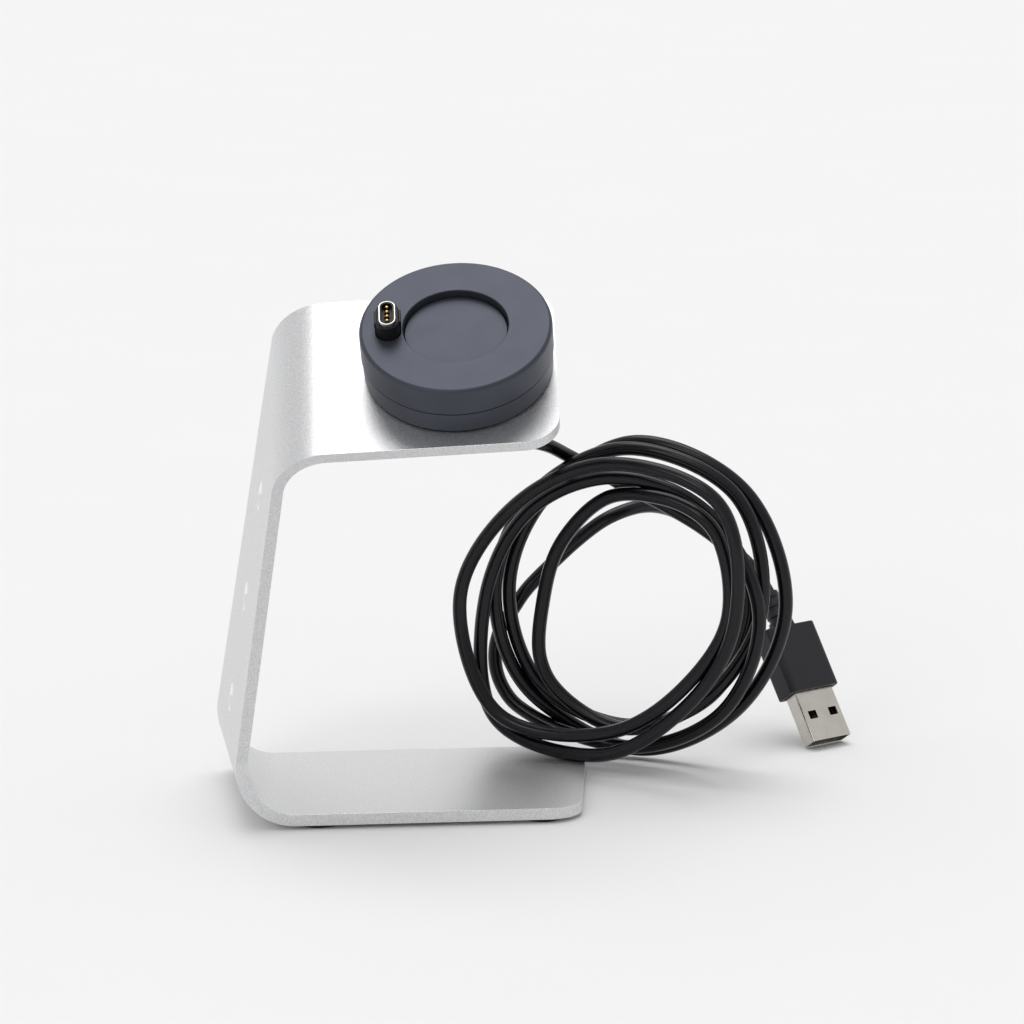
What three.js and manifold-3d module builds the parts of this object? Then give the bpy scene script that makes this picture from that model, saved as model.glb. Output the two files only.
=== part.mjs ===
// Charging stand for a smartwatch: an aluminium sheet bent into a C, a round charging puck on its tilted
// top plate, four spring pins in a connector on the puck, and a USB lead wound in a loose standing coil.
// Millimetres, +Z up, +X towards the open side of the C, +Y towards the back. The origin is on the table,
// under the middle of the stand's own box.

import * as THREE from "three";
import { mergeVertices } from "three/addons/utils/BufferGeometryUtils.js";
import Module from "manifold-3d";

const wasm = await Module();
wasm.setup();

const degrees = THREE.MathUtils.degToRad;
const at = (x, y, z) => new THREE.Vector3(x, y, z);

// ---------------------------------------------------------------- driving dimensions

const GAP = 0.3; // between pieces that touch

// stand bracket
const SHEET = 2.7; // sheet thickness
const BASE_RIGHT_X = 38.4; // front corner of the base's free end
const BASE_FRONT_Y = -24.6;
const BASE_UNDER_Z = 1.0; // underside of the base, on its feet
const BASE_LENGTH = 66.3; // free end to the first bend, along the front edge
const BASE_DEPTH = 54.8;
const BASE_END_SKEW = 7.4; // degrees that the free end runs outward towards the back
const LOWER_BEND_YAW = 2.2; // degrees that the lower bend line turns about +Z
const WALL_LEAN = 8.65; // degrees from upright, towards +X
const WALL_HEIGHT = 63.3; // straight stretch between the bends, along the front edge
const WALL_FRONT_SETBACK = 5.9; // degrees that the wall's front edge leans back
const UPPER_BEND_RISE = 32.0; // degrees that the upper bend line climbs towards the back
const UPPER_BEND_TURN = 75.6; // degrees from the wall to the top plate
const LOWER_BEND_RADIUS = 14.0; // outside radii of the bends
const UPPER_BEND_RADIUS = 13.6;
const PLATE_LENGTH = 53.7; // upper bend to the free end
const PLATE_DEPTH = 51.6;
const CORNER_RADIUS = 8.5; // of the four free corners
const BEND_STEPS = 10;
const CORNER_STEPS = 6;
const WALL_HOLE_RADIUS = 2.5;
const WALL_HOLE_HEIGHTS = [7.8, 32.4, 56.6]; // above the lower bend, along the wall
const WALL_HOLE_DEPTH = 29.0; // from the wall's front edge

// feet
const FOOT_RADIUS = 5.0;
const FOOT_HEIGHT = 0.95;
const FOOT_EDGE = 0.3; // chamfer round the sole
const FOOT_XS = [-22.4, 29.8];
const FOOT_YS = [-18.3, 22.5];

// charging puck, measured from the top face of the plate
const PUCK_ALONG = 31.1; // puck centre from the upper bend
const PUCK_INWARD = 26.45; // puck centre from the plate's front edge
const PUCK_RADIUS = 22.3;
const LOWER_SHELL_RADIUS = 21.9;
const PARTING_HEIGHT = 5.75;
const PUCK_HEIGHT = 13.0;
const PUCK_EDGE_ROUND = 1.0;
const SHELL_WALL = 1.7;
const CEILING_THICKNESS = 1.6;
const FLOOR_UNDER = 1.0; // underside of the lower shell's floor, over the adhesive ring
const FLOOR_TOP = 2.4;
const SKIRT_WALL = 2.4; // ring that the lower shell stands on
const LOWER_EDGE = 0.4; // chamfer round its foot
const RECESS_RADIUS = 12.2; // room for the sensor bump on a watch's back
const RECESS_DEPTH = 1.8;
const INSERT_THICKNESS = 0.8; // disc that makes the recess's floor
const LEDGE_THICKNESS = 0.5; // lip inside the shell that the disc lies on
const LEDGE_RADIUS = 10.9;
const STUB_RADIUS = 3.9; // threaded stub that passes through the plate
const STUB_BORE = 2.2;
const STUB_END = -6.4;
const PLATE_HOLE_RADIUS = 4.2;
const SCREW_CIRCLE = 16.5;
const SCREW_ANGLES = [0, 120, 240];
const LOWER_POST_RADIUS = 3.2;
const LOWER_POST_TOP = 5.0;
const UPPER_POST_RADIUS = 2.4;
const UPPER_POST_BOTTOM = 5.3;
const UPPER_POST_BORE = 1.2;
const HEAD_SEAT = 3.2; // ledge in a lower post that a screw's head bears on
const HEAD_BORE = 2.3;
const SHANK_BORE = 1.25;
const SCREW_HEAD_RADIUS = 2.0;
const SCREW_HEAD_BOTTOM = 1.3;
const SCREW_SHANK_RADIUS = 1.0;
const SCREW_END = 9.4;
const ADHESIVE_INNER = 6.0;
const ADHESIVE_OUTER = 13.2;
const ADHESIVE_TOP = 0.8;
const BOARD_RADIUS = 19.8;
const BOARD_NOTCH = 3.0; // radius of its notches round the screw posts

// pin connector on the puck
const CONNECTOR_X = -15.5; // from the puck's centre
const CONNECTOR_Y = 0.95;
const HOUSING_WIDTH = 5.4;
const HOUSING_DEPTH = 8.9;
const HOUSING_CORNER = 2.6;
const HOUSING_TOP = 16.7;
const FLANGE_WIDTH = 6.8;
const FLANGE_DEPTH = 10.8;
const FLANGE_CORNER = 1.2;
const FLANGE_TOP = 9.2;
const RIM_WIDTH = 3.9;
const RIM_DEPTH = 8.1;
const RIM_WALL = 0.35;
const RIM_TOP = 17.5;
const TAB_WIDTH = 0.6;
const TAB_DEPTH = 4.2;
const TAB_Y = 0.4;
const TAB_BOTTOM = 14.2;
const TAB_TOP = 16.0;
const PIN_PITCH = 1.5;
const PIN_COUNT = 4;
const PIN_SEGMENTS = 12;
const PIN_RADIUS = 0.36;
const PIN_COLLAR_RADIUS = 0.47;
const BARREL_BORE = 0.52;
const BARREL_RADIUS = 0.66;
const BARREL_BOTTOM = 8.0;
const BARREL_TOP = 15.9;
const PIN_BLOCK_TOP = 16.4;
const COLLAR_BOTTOM = 13.6;
const COLLAR_TOP = BARREL_TOP - 0.35;
const SPRING_BOTTOM = BARREL_BOTTOM + 0.45;
const SPRING_WIRE = 0.08; // radius
const SPRING_TURNS = 6;
const BOARD_BOTTOM = 6.6;
const BOARD_TOP = 7.6;

// lead, coil and plug
const LEAD_RADIUS = 1.7;
const BOOT_LENGTH = 10.0; // strain relief under the plate
const BOOT_WIDE = 3.7; // its largest and smallest radius
const BOOT_NARROW = 2.3;
const BOOT_RIBS = 4;
const NUT_ACROSS_FLATS = 15;
const COIL_CENTRE = at(53.4, 22.9, 41.4);
const COIL_YAW = 28; // degrees that the coil's axis turns from +Y towards +X
const COIL_INNER = 20.0; // radii of the wound turns
const COIL_OUTER_FRONT = 36.6;
const COIL_OUTER_BACK = 40.8;
const COIL_FRONT = -12.5; // along the coil's axis
const COIL_WIDENS = -4.0;
const COIL_WIDE = 4.0;
const COIL_BACK = 11.0;
const PLUG_TIP = at(106.0, 36.9, 1.35); // middle of the plug's mouth
const PLUG_YAW = 31.6; // degrees, of the plug's width
const PLUG_RISE = 54.7; // degrees from the table to the plug's length
const PLUG_WIDTH = 12.0;
const PLUG_THICKNESS = 4.5;
const PLUG_CORNER = 0.5;
const PLUG_EXPOSED = 13.0;
const PLUG_SHELL_LENGTH = 18.6;
const PLUG_WALL = 0.32;
const WINDOW_WIDTH = 2.5;
const WINDOW_LENGTH = 2.1;
const WINDOW_FROM_TIP = 6.7;
const WINDOW_OFFSET = 3.2;
const TONGUE_WIDTH = 11.0;
const TONGUE_THICKNESS = 1.7;
const TONGUE_Y = 0.95;
const TONGUE_FROM = 0.6;
const TONGUE_TO = 16.0;
const CONTACT_WIDTH = 1.1;
const CONTACT_THICKNESS = 0.25;
const CONTACT_PITCH = 2.3;
const CONTACT_END = 9.0;
const GRIP_WIDTH = 15.0;
const GRIP_THICKNESS = 7.6;
const GRIP_LENGTH = 17.2;
const GRIP_CORNER = 1.6;
const RELIEF_LENGTH = 10.0;
const RELIEF_WIDE = 3.2;
const RELIEF_NARROW = 2.2;
const RELIEF_RIBS = 3;

// ---------------------------------------------------------------- materials

const material = (color, roughness, metalness) =>
  new THREE.MeshStandardMaterial({ color, roughness, metalness });
const aluminium = () => material(0xc9cacc, 0.42, 1.0);
const rubber = () => material(0x1b1b1c, 0.85, 0.0);
const puckPlastic = () => material(0x3b3c42, 0.6, 0.0);
const blackPlastic = () => material(0x17171a, 0.55, 0.0);
const steel = () => material(0xc8c8c6, 0.25, 1.0);
const nickel = () => material(0xb5ae9f, 0.3, 1.0);
const gold = () => material(0xd6a64a, 0.28, 1.0);
const greenBoard = () => material(0x1f5a38, 0.5, 0.0);
const tape = () => material(0x26262a, 0.9, 0.0);
const leadJacket = () => material(0x121214, 0.35, 0.0);

// ---------------------------------------------------------------- geometry helpers

function named(name, geometry, surface) {
  const mesh = new THREE.Mesh(geometry, surface);
  mesh.name = name;
  return mesh;
}

function solidOf(geometry) {
  const bare = geometry.clone();
  bare.deleteAttribute("normal");
  bare.deleteAttribute("uv");
  const merged = mergeVertices(bare, 1e-4);
  const vertProperties = new Float32Array(merged.attributes.position.array);
  const triVerts = new Uint32Array(merged.index.array);
  return new wasm.Manifold(new wasm.Mesh({ numProp: 3, vertProperties, triVerts }));
}

function geometryOf(solid) {
  const { vertProperties, triVerts } = solid.getMesh();
  const geometry = new THREE.BufferGeometry();
  geometry.setAttribute("position", new THREE.BufferAttribute(vertProperties, 3));
  geometry.setIndex(new THREE.BufferAttribute(triVerts, 1));
  return geometry;
}

const cut = (body, ...tools) =>
  geometryOf(tools.reduce((left, tool) => left.subtract(solidOf(tool)), solidOf(body)));
const join = (body, ...parts) =>
  geometryOf(parts.reduce((whole, part) => whole.add(solidOf(part)), solidOf(body)));

/** A solid of revolution about local Z, from [radius, height] pairs that run outward-facing. */
function turned(profile, segments) {
  const points = profile.map(([radius, height]) => new THREE.Vector2(radius, height));
  return new THREE.LatheGeometry(points, segments).rotateX(Math.PI / 2);
}

function disc(radius, bottom, top, segments = 32) {
  const cylinder = new THREE.CylinderGeometry(radius, radius, top - bottom, segments);
  return cylinder.rotateX(Math.PI / 2).translate(0, 0, (top + bottom) / 2);
}

function block(width, depth, bottom, top) {
  return new THREE.BoxGeometry(width, depth, top - bottom).translate(0, 0, (top + bottom) / 2);
}

/** A rectangle about the origin with four equal round corners. */
function roundedRectangle(width, depth, radius, Kind = THREE.Shape) {
  const x = width / 2 - radius;
  const y = depth / 2 - radius;
  const outline = new Kind();
  outline.absarc(x, y, radius, 0, Math.PI / 2);
  outline.absarc(-x, y, radius, Math.PI / 2, Math.PI);
  outline.absarc(-x, -y, radius, Math.PI, 1.5 * Math.PI);
  outline.absarc(x, -y, radius, 1.5 * Math.PI, 2 * Math.PI);
  return outline;
}

function raised(shape, bottom, top, curveSegments = 6) {
  const options = { depth: top - bottom, bevelEnabled: false, curveSegments };
  return new THREE.ExtrudeGeometry(shape, options).translate(0, 0, bottom);
}

/** A round or polygonal bar along a curve. */
function swept(curve, radius, sides, steps) {
  const section = new THREE.Shape();
  for (let side = 0; side < sides; side += 1) {
    const angle = (2 * Math.PI * side) / sides;
    const place = side === 0 ? "moveTo" : "lineTo";
    section[place](radius * Math.cos(angle), radius * Math.sin(angle));
  }
  return new THREE.ExtrudeGeometry(section, { steps, extrudePath: curve, bevelEnabled: false });
}

// ---------------------------------------------------------------- directions of the bent sheet

const lowerBendLine = at(-Math.sin(degrees(LOWER_BEND_YAW)), Math.cos(degrees(LOWER_BEND_YAW)), 0);
const acrossBend = at(lowerBendLine.y, -lowerBendLine.x, 0);
const up = at(0, 0, 1);

/** a cos(angle) + b sin(angle) */
function turn(a, b, angle) {
  return a.clone().multiplyScalar(Math.cos(angle)).addScaledVector(b, Math.sin(angle));
}

const wallUp = turn(up, acrossBend, degrees(WALL_LEAN));
const wallOut = turn(acrossBend.clone().negate(), up, degrees(WALL_LEAN));
const wallFrontEdge = turn(wallUp, lowerBendLine, degrees(WALL_FRONT_SETBACK));
const upperBendLine = turn(lowerBendLine, wallUp, degrees(UPPER_BEND_RISE));
const overTheBend = new THREE.Vector3().crossVectors(upperBendLine, wallOut);
const plateOut = turn(wallOut, overTheBend, degrees(UPPER_BEND_TURN));
const plateAlong = new THREE.Vector3().crossVectors(upperBendLine, plateOut);

const lowerBendCentre = at(
  BASE_RIGHT_X - BASE_LENGTH,
  BASE_FRONT_Y,
  BASE_UNDER_Z + LOWER_BEND_RADIUS,
);
const wallDepth = BASE_DEPTH / Math.cos(degrees(LOWER_BEND_YAW));
const wallBottom = lowerBendCentre.clone().addScaledVector(wallOut, LOWER_BEND_RADIUS);
const wallTop = wallBottom.clone().addScaledVector(wallFrontEdge, WALL_HEIGHT);
const upperBendCentre = wallTop.clone().addScaledVector(wallOut, -UPPER_BEND_RADIUS);
const plateStart = upperBendCentre.clone().addScaledVector(plateOut, UPPER_BEND_RADIUS);
const puckSeat = plateStart
  .clone()
  .addScaledVector(plateAlong, PUCK_ALONG)
  .addScaledVector(upperBendLine, PUCK_INWARD);

// ---------------------------------------------------------------- stand bracket

/** Points of a round corner, from the edge towards `second` to the edge towards `first`. */
function roundCorner(corner, first, second, radius, steps) {
  const half = first.angleTo(second) / 2;
  const bisector = first.clone().add(second).normalize();
  const centre = corner.clone().addScaledVector(bisector, radius / Math.sin(half));
  const inward = bisector.negate();
  const sideways = second.clone().addScaledVector(inward, -second.dot(inward)).normalize();
  const sweep = Math.PI / 2 - half;
  return Array.from({ length: steps + 1 }, (_, i) =>
    centre.clone().addScaledVector(turn(inward, sideways, sweep * (1 - (2 * i) / steps)), radius),
  );
}

/** One straight line across the sheet's outer skin, from its front edge to its back edge. */
const ruling = (front, back, normal) => ({ front, back, normal });

/** Rulings of a flat free end with two round corners, from the end inward. */
function freeEnd(front, back, inward, normal) {
  const across = back.clone().sub(front).normalize();
  const frontArc = roundCorner(front, inward, across, CORNER_RADIUS, CORNER_STEPS);
  const backArc = roundCorner(back, inward, across.clone().negate(), CORNER_RADIUS, CORNER_STEPS);
  return frontArc.map((point, i) => ruling(point, backArc[i], normal));
}

/** Rulings round a bend, whose outward normal turns from `first` towards `second`. */
function bend(centre, line, depth, radius, first, second, from, to) {
  return Array.from({ length: BEND_STEPS + 1 }, (_, i) => {
    const normal = turn(first, second, from + ((to - from) * i) / BEND_STEPS);
    const front = centre.clone().addScaledVector(normal, radius);
    return ruling(front, front.clone().addScaledVector(line, depth), normal);
  });
}

/** The closed body between an outer skin of rulings and the same skin one sheet thickness inside. */
function sheetBody(rulings) {
  const positions = [];
  const index = [];
  for (const { front, back, normal } of rulings) {
    const inner = (point) => point.clone().addScaledVector(normal, -SHEET);
    for (const corner of [front, back, inner(back), inner(front)]) {
      positions.push(...corner.toArray());
    }
  }
  const quad = (a, b, c, d) => index.push(a, b, c, a, c, d);
  for (let i = 0; i + 1 < rulings.length; i += 1) {
    for (let side = 0; side < 4; side += 1) {
      const next = (side + 1) % 4;
      quad(4 * i + side, 4 * (i + 1) + side, 4 * (i + 1) + next, 4 * i + next);
    }
  }
  const last = 4 * (rulings.length - 1);
  quad(0, 1, 2, 3);
  quad(last + 3, last + 2, last + 1, last);
  const geometry = new THREE.BufferGeometry();
  geometry.setAttribute("position", new THREE.Float32BufferAttribute(positions, 3));
  return geometry.setIndex(index);
}

/** A cylinder through the sheet, its axis along `normal` at a point of the outer skin. */
function drill(point, normal, radius) {
  const turnToNormal = new THREE.Quaternion().setFromUnitVectors(at(0, 1, 0), normal);
  const cylinder = new THREE.CylinderGeometry(radius, radius, 4 * SHEET, 32);
  return cylinder.applyQuaternion(turnToNormal).translate(point.x, point.y, point.z);
}

function standBracket() {
  const down = up.clone().negate();
  const frontCorner = at(BASE_RIGHT_X, BASE_FRONT_Y, BASE_UNDER_Z);
  const skew = BASE_DEPTH * Math.tan(degrees(BASE_END_SKEW));
  const backCorner = at(BASE_RIGHT_X + skew, BASE_FRONT_Y + BASE_DEPTH, BASE_UNDER_Z);
  const left = acrossBend.clone().negate();
  const plateEnd = plateStart.clone().addScaledVector(plateAlong, PLATE_LENGTH);
  const plateEndBack = plateEnd.clone().addScaledVector(upperBendLine, PLATE_DEPTH);
  const lowerEnd = -degrees(WALL_LEAN);
  const upperTurn = degrees(UPPER_BEND_TURN);
  const lowerBend = bend(
    lowerBendCentre,
    lowerBendLine,
    wallDepth,
    LOWER_BEND_RADIUS,
    left,
    down,
    Math.PI / 2,
    lowerEnd,
  );
  const upperBend = bend(
    upperBendCentre,
    upperBendLine,
    PLATE_DEPTH,
    UPPER_BEND_RADIUS,
    wallOut,
    overTheBend,
    0,
    upperTurn,
  );
  const body = sheetBody([
    ...freeEnd(frontCorner, backCorner, at(-1, 0, 0), down),
    ...lowerBend,
    ...upperBend,
    ...freeEnd(plateEnd, plateEndBack, plateAlong.clone().negate(), plateOut).reverse(),
  ]);
  const wallHoles = WALL_HOLE_HEIGHTS.map((height) => {
    const point = wallBottom.clone().addScaledVector(wallUp, height);
    return drill(point.addScaledVector(lowerBendLine, WALL_HOLE_DEPTH), wallOut, WALL_HOLE_RADIUS);
  });
  return cut(body, ...wallHoles, drill(puckSeat, plateOut, PLATE_HOLE_RADIUS));
}

function foot() {
  const profile = [
    [0, 0],
    [FOOT_RADIUS - FOOT_EDGE, 0],
    [FOOT_RADIUS, FOOT_EDGE],
    [FOOT_RADIUS, FOOT_HEIGHT],
    [0, FOOT_HEIGHT],
  ];
  return turned(profile, 32);
}

// ---------------------------------------------------------------- puck shells

const CEILING = PUCK_HEIGHT - CEILING_THICKNESS;
const RECESS_FLOOR = PUCK_HEIGHT - RECESS_DEPTH;
const LEDGE_TOP = RECESS_FLOOR - INSERT_THICKNESS - GAP;
const WELL_BOTTOM = LEDGE_TOP - LEDGE_THICKNESS;

function onScrewCircle(geometry, angle) {
  return geometry.translate(SCREW_CIRCLE, 0, 0).rotateZ(degrees(angle));
}

function lowerShell() {
  const inner = PUCK_RADIUS - SHELL_WALL;
  const rim = PARTING_HEIGHT - GAP / 2;
  const skirt = LOWER_SHELL_RADIUS - SKIRT_WALL;
  const profile = [
    [STUB_BORE, STUB_END],
    [STUB_RADIUS, STUB_END],
    [STUB_RADIUS, FLOOR_UNDER],
    [skirt, FLOOR_UNDER],
    [skirt, GAP],
    [LOWER_SHELL_RADIUS - LOWER_EDGE, GAP],
    [LOWER_SHELL_RADIUS, GAP + LOWER_EDGE],
    [LOWER_SHELL_RADIUS, rim],
    [inner, rim],
    [inner, FLOOR_TOP],
    [STUB_BORE, FLOOR_TOP],
    [STUB_BORE, STUB_END],
  ];
  const posts = SCREW_ANGLES.map((angle) =>
    onScrewCircle(disc(LOWER_POST_RADIUS, FLOOR_TOP - 0.5, LOWER_POST_TOP, 24), angle),
  );
  const holes = SCREW_ANGLES.flatMap((angle) => [
    onScrewCircle(disc(HEAD_BORE, 0, HEAD_SEAT, 24), angle),
    onScrewCircle(disc(SHANK_BORE, 0, LOWER_POST_TOP + 1, 16), angle),
  ]);
  return cut(join(turned(profile, 48), ...posts), ...holes);
}

function upperShell() {
  const inner = PUCK_RADIUS - SHELL_WALL;
  const rim = PARTING_HEIGHT + GAP / 2;
  const step = RECESS_RADIUS + CEILING_THICKNESS;
  const bevel = 0.2;
  const topEdge = [0, 30, 60, 90].map((angle) => [
    PUCK_RADIUS - PUCK_EDGE_ROUND * (1 - Math.cos(degrees(angle))),
    PUCK_HEIGHT - PUCK_EDGE_ROUND * (1 - Math.sin(degrees(angle))),
  ]);
  const profile = [
    [LEDGE_RADIUS, WELL_BOTTOM],
    [step, WELL_BOTTOM],
    [step, CEILING],
    [inner, CEILING],
    [inner, rim],
    [PUCK_RADIUS, rim],
    ...topEdge,
    [RECESS_RADIUS + bevel, PUCK_HEIGHT],
    [RECESS_RADIUS, PUCK_HEIGHT - bevel],
    [RECESS_RADIUS, LEDGE_TOP],
    [LEDGE_RADIUS, LEDGE_TOP],
    [LEDGE_RADIUS, WELL_BOTTOM],
  ];
  const posts = SCREW_ANGLES.map((angle) =>
    onScrewCircle(disc(UPPER_POST_RADIUS, UPPER_POST_BOTTOM, CEILING + 0.5, 24), angle),
  );
  const bores = SCREW_ANGLES.map((angle) =>
    onScrewCircle(disc(UPPER_POST_BORE, 0, SCREW_END + 0.6, 16), angle),
  );
  const slotOutline = roundedRectangle(
    HOUSING_WIDTH + 2 * GAP,
    HOUSING_DEPTH + 2 * GAP,
    HOUSING_CORNER + GAP,
  );
  const slot = raised(slotOutline, CEILING - 2, PUCK_HEIGHT + 1);
  slot.translate(CONNECTOR_X, CONNECTOR_Y, 0);
  return cut(join(turned(profile, 48), ...posts), ...bores, slot);
}

function recessInsert() {
  return disc(RECESS_RADIUS - GAP, RECESS_FLOOR - INSERT_THICKNESS, RECESS_FLOOR, 48);
}

function shellScrew() {
  const headTop = HEAD_SEAT - GAP;
  const crossLength = 1.6;
  const crossWidth = 0.5;
  const crossTop = SCREW_HEAD_BOTTOM + 0.7;
  const head = disc(SCREW_HEAD_RADIUS, SCREW_HEAD_BOTTOM, headTop, 16);
  const shank = disc(SCREW_SHANK_RADIUS, headTop - 0.5, SCREW_END, 16);
  const slots = [
    roundedRectangle(crossLength, crossWidth, 0.2),
    roundedRectangle(crossWidth, crossLength, 0.2),
  ].map((outline) => raised(outline, 0, crossTop, 2));
  return cut(join(head, shank), ...slots);
}

function adhesiveRing() {
  const profile = [
    [ADHESIVE_INNER, GAP],
    [ADHESIVE_OUTER, GAP],
    [ADHESIVE_OUTER, ADHESIVE_TOP],
    [ADHESIVE_INNER, ADHESIVE_TOP],
    [ADHESIVE_INNER, GAP],
  ];
  return turned(profile, 48);
}

function circuitBoard() {
  const notches = SCREW_ANGLES.map((angle) =>
    onScrewCircle(disc(BOARD_NOTCH, BOARD_BOTTOM - 1, BOARD_TOP + 1, 24), angle),
  );
  return cut(disc(BOARD_RADIUS, BOARD_BOTTOM, BOARD_TOP, 48), ...notches);
}

// ---------------------------------------------------------------- pin connector

const pinPlaces = Array.from({ length: PIN_COUNT }, (_, i) => (i - (PIN_COUNT - 1) / 2) * PIN_PITCH);

/** The outline of the rim, drawn in from its own by `inset`. */
function rimOutline(inset, Kind = THREE.Shape) {
  const width = RIM_WIDTH - 2 * inset;
  return roundedRectangle(width, RIM_DEPTH - 2 * inset, width / 2 - 0.01, Kind);
}

function connectorHousing() {
  const flangeOutline = roundedRectangle(FLANGE_WIDTH, FLANGE_DEPTH, FLANGE_CORNER);
  const bodyOutline = roundedRectangle(HOUSING_WIDTH, HOUSING_DEPTH, HOUSING_CORNER);
  const flange = raised(flangeOutline, BARREL_BOTTOM, FLANGE_TOP);
  const body = raised(bodyOutline, BARREL_BOTTOM, HOUSING_TOP);
  const well = raised(rimOutline(-0.1), BARREL_BOTTOM - 1, HOUSING_TOP + 1);
  const sides = [-1, 1].map((side) => {
    const pocket = block(TAB_WIDTH + 0.1, TAB_DEPTH + 0.4, TAB_BOTTOM - 0.2, TAB_TOP + 0.2);
    return pocket.translate((side * HOUSING_WIDTH) / 2, TAB_Y, 0);
  });
  return cut(join(flange, body), well, ...sides);
}

function connectorRim() {
  const outline = rimOutline(0);
  outline.holes.push(rimOutline(RIM_WALL, THREE.Path));
  return raised(outline, BARREL_BOTTOM + 0.2, RIM_TOP, 8);
}

function pinBlock() {
  const outline = rimOutline(RIM_WALL + 0.05);
  for (const y of pinPlaces) {
    outline.holes.push(new THREE.Path().absarc(0, y, BARREL_RADIUS + 0.03, 0, 2 * Math.PI));
  }
  return raised(outline, BARREL_BOTTOM + 0.4, PIN_BLOCK_TOP, 5);
}

function pinBarrel() {
  const floor = BARREL_BOTTOM + 0.4;
  const lip = BARREL_TOP - 0.3;
  const throat = PIN_RADIUS + 0.04;
  const profile = [
    [0, BARREL_BOTTOM],
    [BARREL_RADIUS, BARREL_BOTTOM],
    [BARREL_RADIUS, BARREL_TOP],
    [throat, BARREL_TOP],
    [throat, lip],
    [BARREL_BORE, lip],
    [BARREL_BORE, floor],
    [0, floor],
  ];
  return turned(profile, PIN_SEGMENTS);
}

function pinPlunger() {
  const tip = RIM_TOP - 0.1;
  const profile = [
    [0, COLLAR_BOTTOM],
    [PIN_COLLAR_RADIUS, COLLAR_BOTTOM],
    [PIN_COLLAR_RADIUS, COLLAR_TOP],
    [PIN_RADIUS, COLLAR_TOP],
    [PIN_RADIUS, tip - 0.2],
    [PIN_RADIUS * 0.65, tip - 0.05],
    [0, tip],
  ];
  return turned(profile, PIN_SEGMENTS);
}

class Helix extends THREE.Curve {
  constructor(radius, bottom, top, turns) {
    super();
    Object.assign(this, { radius, bottom, top, turns });
  }
  getPoint(t, target = new THREE.Vector3()) {
    const angle = 2 * Math.PI * this.turns * t;
    const height = THREE.MathUtils.lerp(this.bottom, this.top, t);
    return target.set(this.radius * Math.cos(angle), this.radius * Math.sin(angle), height);
  }
}

function pinSpring() {
  const bottom = SPRING_BOTTOM + SPRING_WIRE;
  const top = COLLAR_BOTTOM - SPRING_WIRE - 0.05;
  const helix = new Helix(BARREL_BORE - 2 * SPRING_WIRE, bottom, top, SPRING_TURNS);
  return swept(helix, SPRING_WIRE, 4, 8 * SPRING_TURNS);
}

function sideTab(side) {
  const strip = raised(roundedRectangle(TAB_WIDTH, TAB_DEPTH, 0.25), TAB_BOTTOM, TAB_TOP, 3);
  return strip.translate(side * (HOUSING_WIDTH / 2 + 0.1), TAB_Y, 0);
}

// ---------------------------------------------------------------- lead through the plate

function glandNut() {
  const corner = NUT_ACROSS_FLATS / 2 / Math.cos(Math.PI / 6);
  const hexagon = new THREE.Shape();
  for (let i = 0; i < 6; i += 1) {
    const angle = (i * Math.PI) / 3;
    const place = i === 0 ? "moveTo" : "lineTo";
    hexagon[place](corner * Math.cos(angle), corner * Math.sin(angle));
  }
  hexagon.holes.push(new THREE.Path().absarc(0, 0, STUB_RADIUS + GAP, 0, 2 * Math.PI));
  return raised(hexagon, STUB_END + 0.4, -SHEET - GAP, 12);
}

const BOOT_TOP = STUB_END - GAP;
const BOOT_BOTTOM = BOOT_TOP - BOOT_LENGTH;

/** Tapered strain relief with grooves, widest at `wide` and ending at `narrow` heights. */
function taperedRelief(wide, narrow, wideRadius, narrowRadius, ribs) {
  const span = narrow - wide;
  const radiusAt = (t) => THREE.MathUtils.lerp(wideRadius, narrowRadius, t);
  const outline = [[0, wide], [wideRadius, wide]];
  for (let rib = 0; rib < ribs; rib += 1) {
    for (const [offset, groove] of [[0.3, 0], [0.36, 0.35], [0.64, 0.35], [0.7, 0]]) {
      const t = 0.12 + (0.8 * (rib + offset)) / ribs;
      outline.push([radiusAt(t) - groove, wide + span * t]);
    }
  }
  outline.push([narrowRadius, narrow], [0, narrow]);
  return turned(span > 0 ? outline : outline.reverse(), 20);
}

// ---------------------------------------------------------------- free lead and its coil

/** From the strain relief under the plate, back and down to the top of the coil. */
const LEAD_ROUTE = [
  at(13.4, 3.6, 90.2),
  at(14.0, 6.0, 86.8),
  at(15.5, 9.4, 84.5),
  at(18.7, 13.6, 83.2),
  at(23.0, 18.0, 82.4),
  at(28.5, 23.0, 81.2),
  at(33.0, 27.2, 79.6),
  at(36.5, 30.5, 78.0),
];

/** From the back of the coil round to the plug's strain relief. */
const TAIL_ROUTE = [
  at(40.6, 44.9, 47.6),
  at(45.4, 44.7, 52.0),
  at(51.8, 45.2, 56.5),
  at(60.2, 48.0, 58.8),
  at(67.3, 53.0, 57.2),
  at(74.6, 59.2, 52.6),
  at(82.9, 62.9, 46.2),
  at(89.6, 60.8, 40.4),
  at(93.6, 56.8, 34.5),
];

function leadTube(route, steps) {
  return swept(new THREE.CatmullRomCurve3(route), LEAD_RADIUS, 8, steps);
}

/** The outer shape of the wound turns, about the coil's own axis: narrower where it rests on the base. */
function coilRing() {
  const profile = [
    [COIL_INNER, COIL_FRONT],
    [COIL_OUTER_FRONT, COIL_FRONT],
    [COIL_OUTER_FRONT, COIL_WIDENS],
    [COIL_OUTER_BACK, COIL_WIDE],
    [COIL_OUTER_BACK, COIL_BACK],
    [COIL_INNER, COIL_BACK],
    [COIL_INNER, COIL_FRONT],
  ];
  const points = profile.map(([radius, along]) => new THREE.Vector2(radius, along));
  return new THREE.LatheGeometry(points, 48);
}

// ---------------------------------------------------------------- plug, along local Z from its mouth

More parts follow.
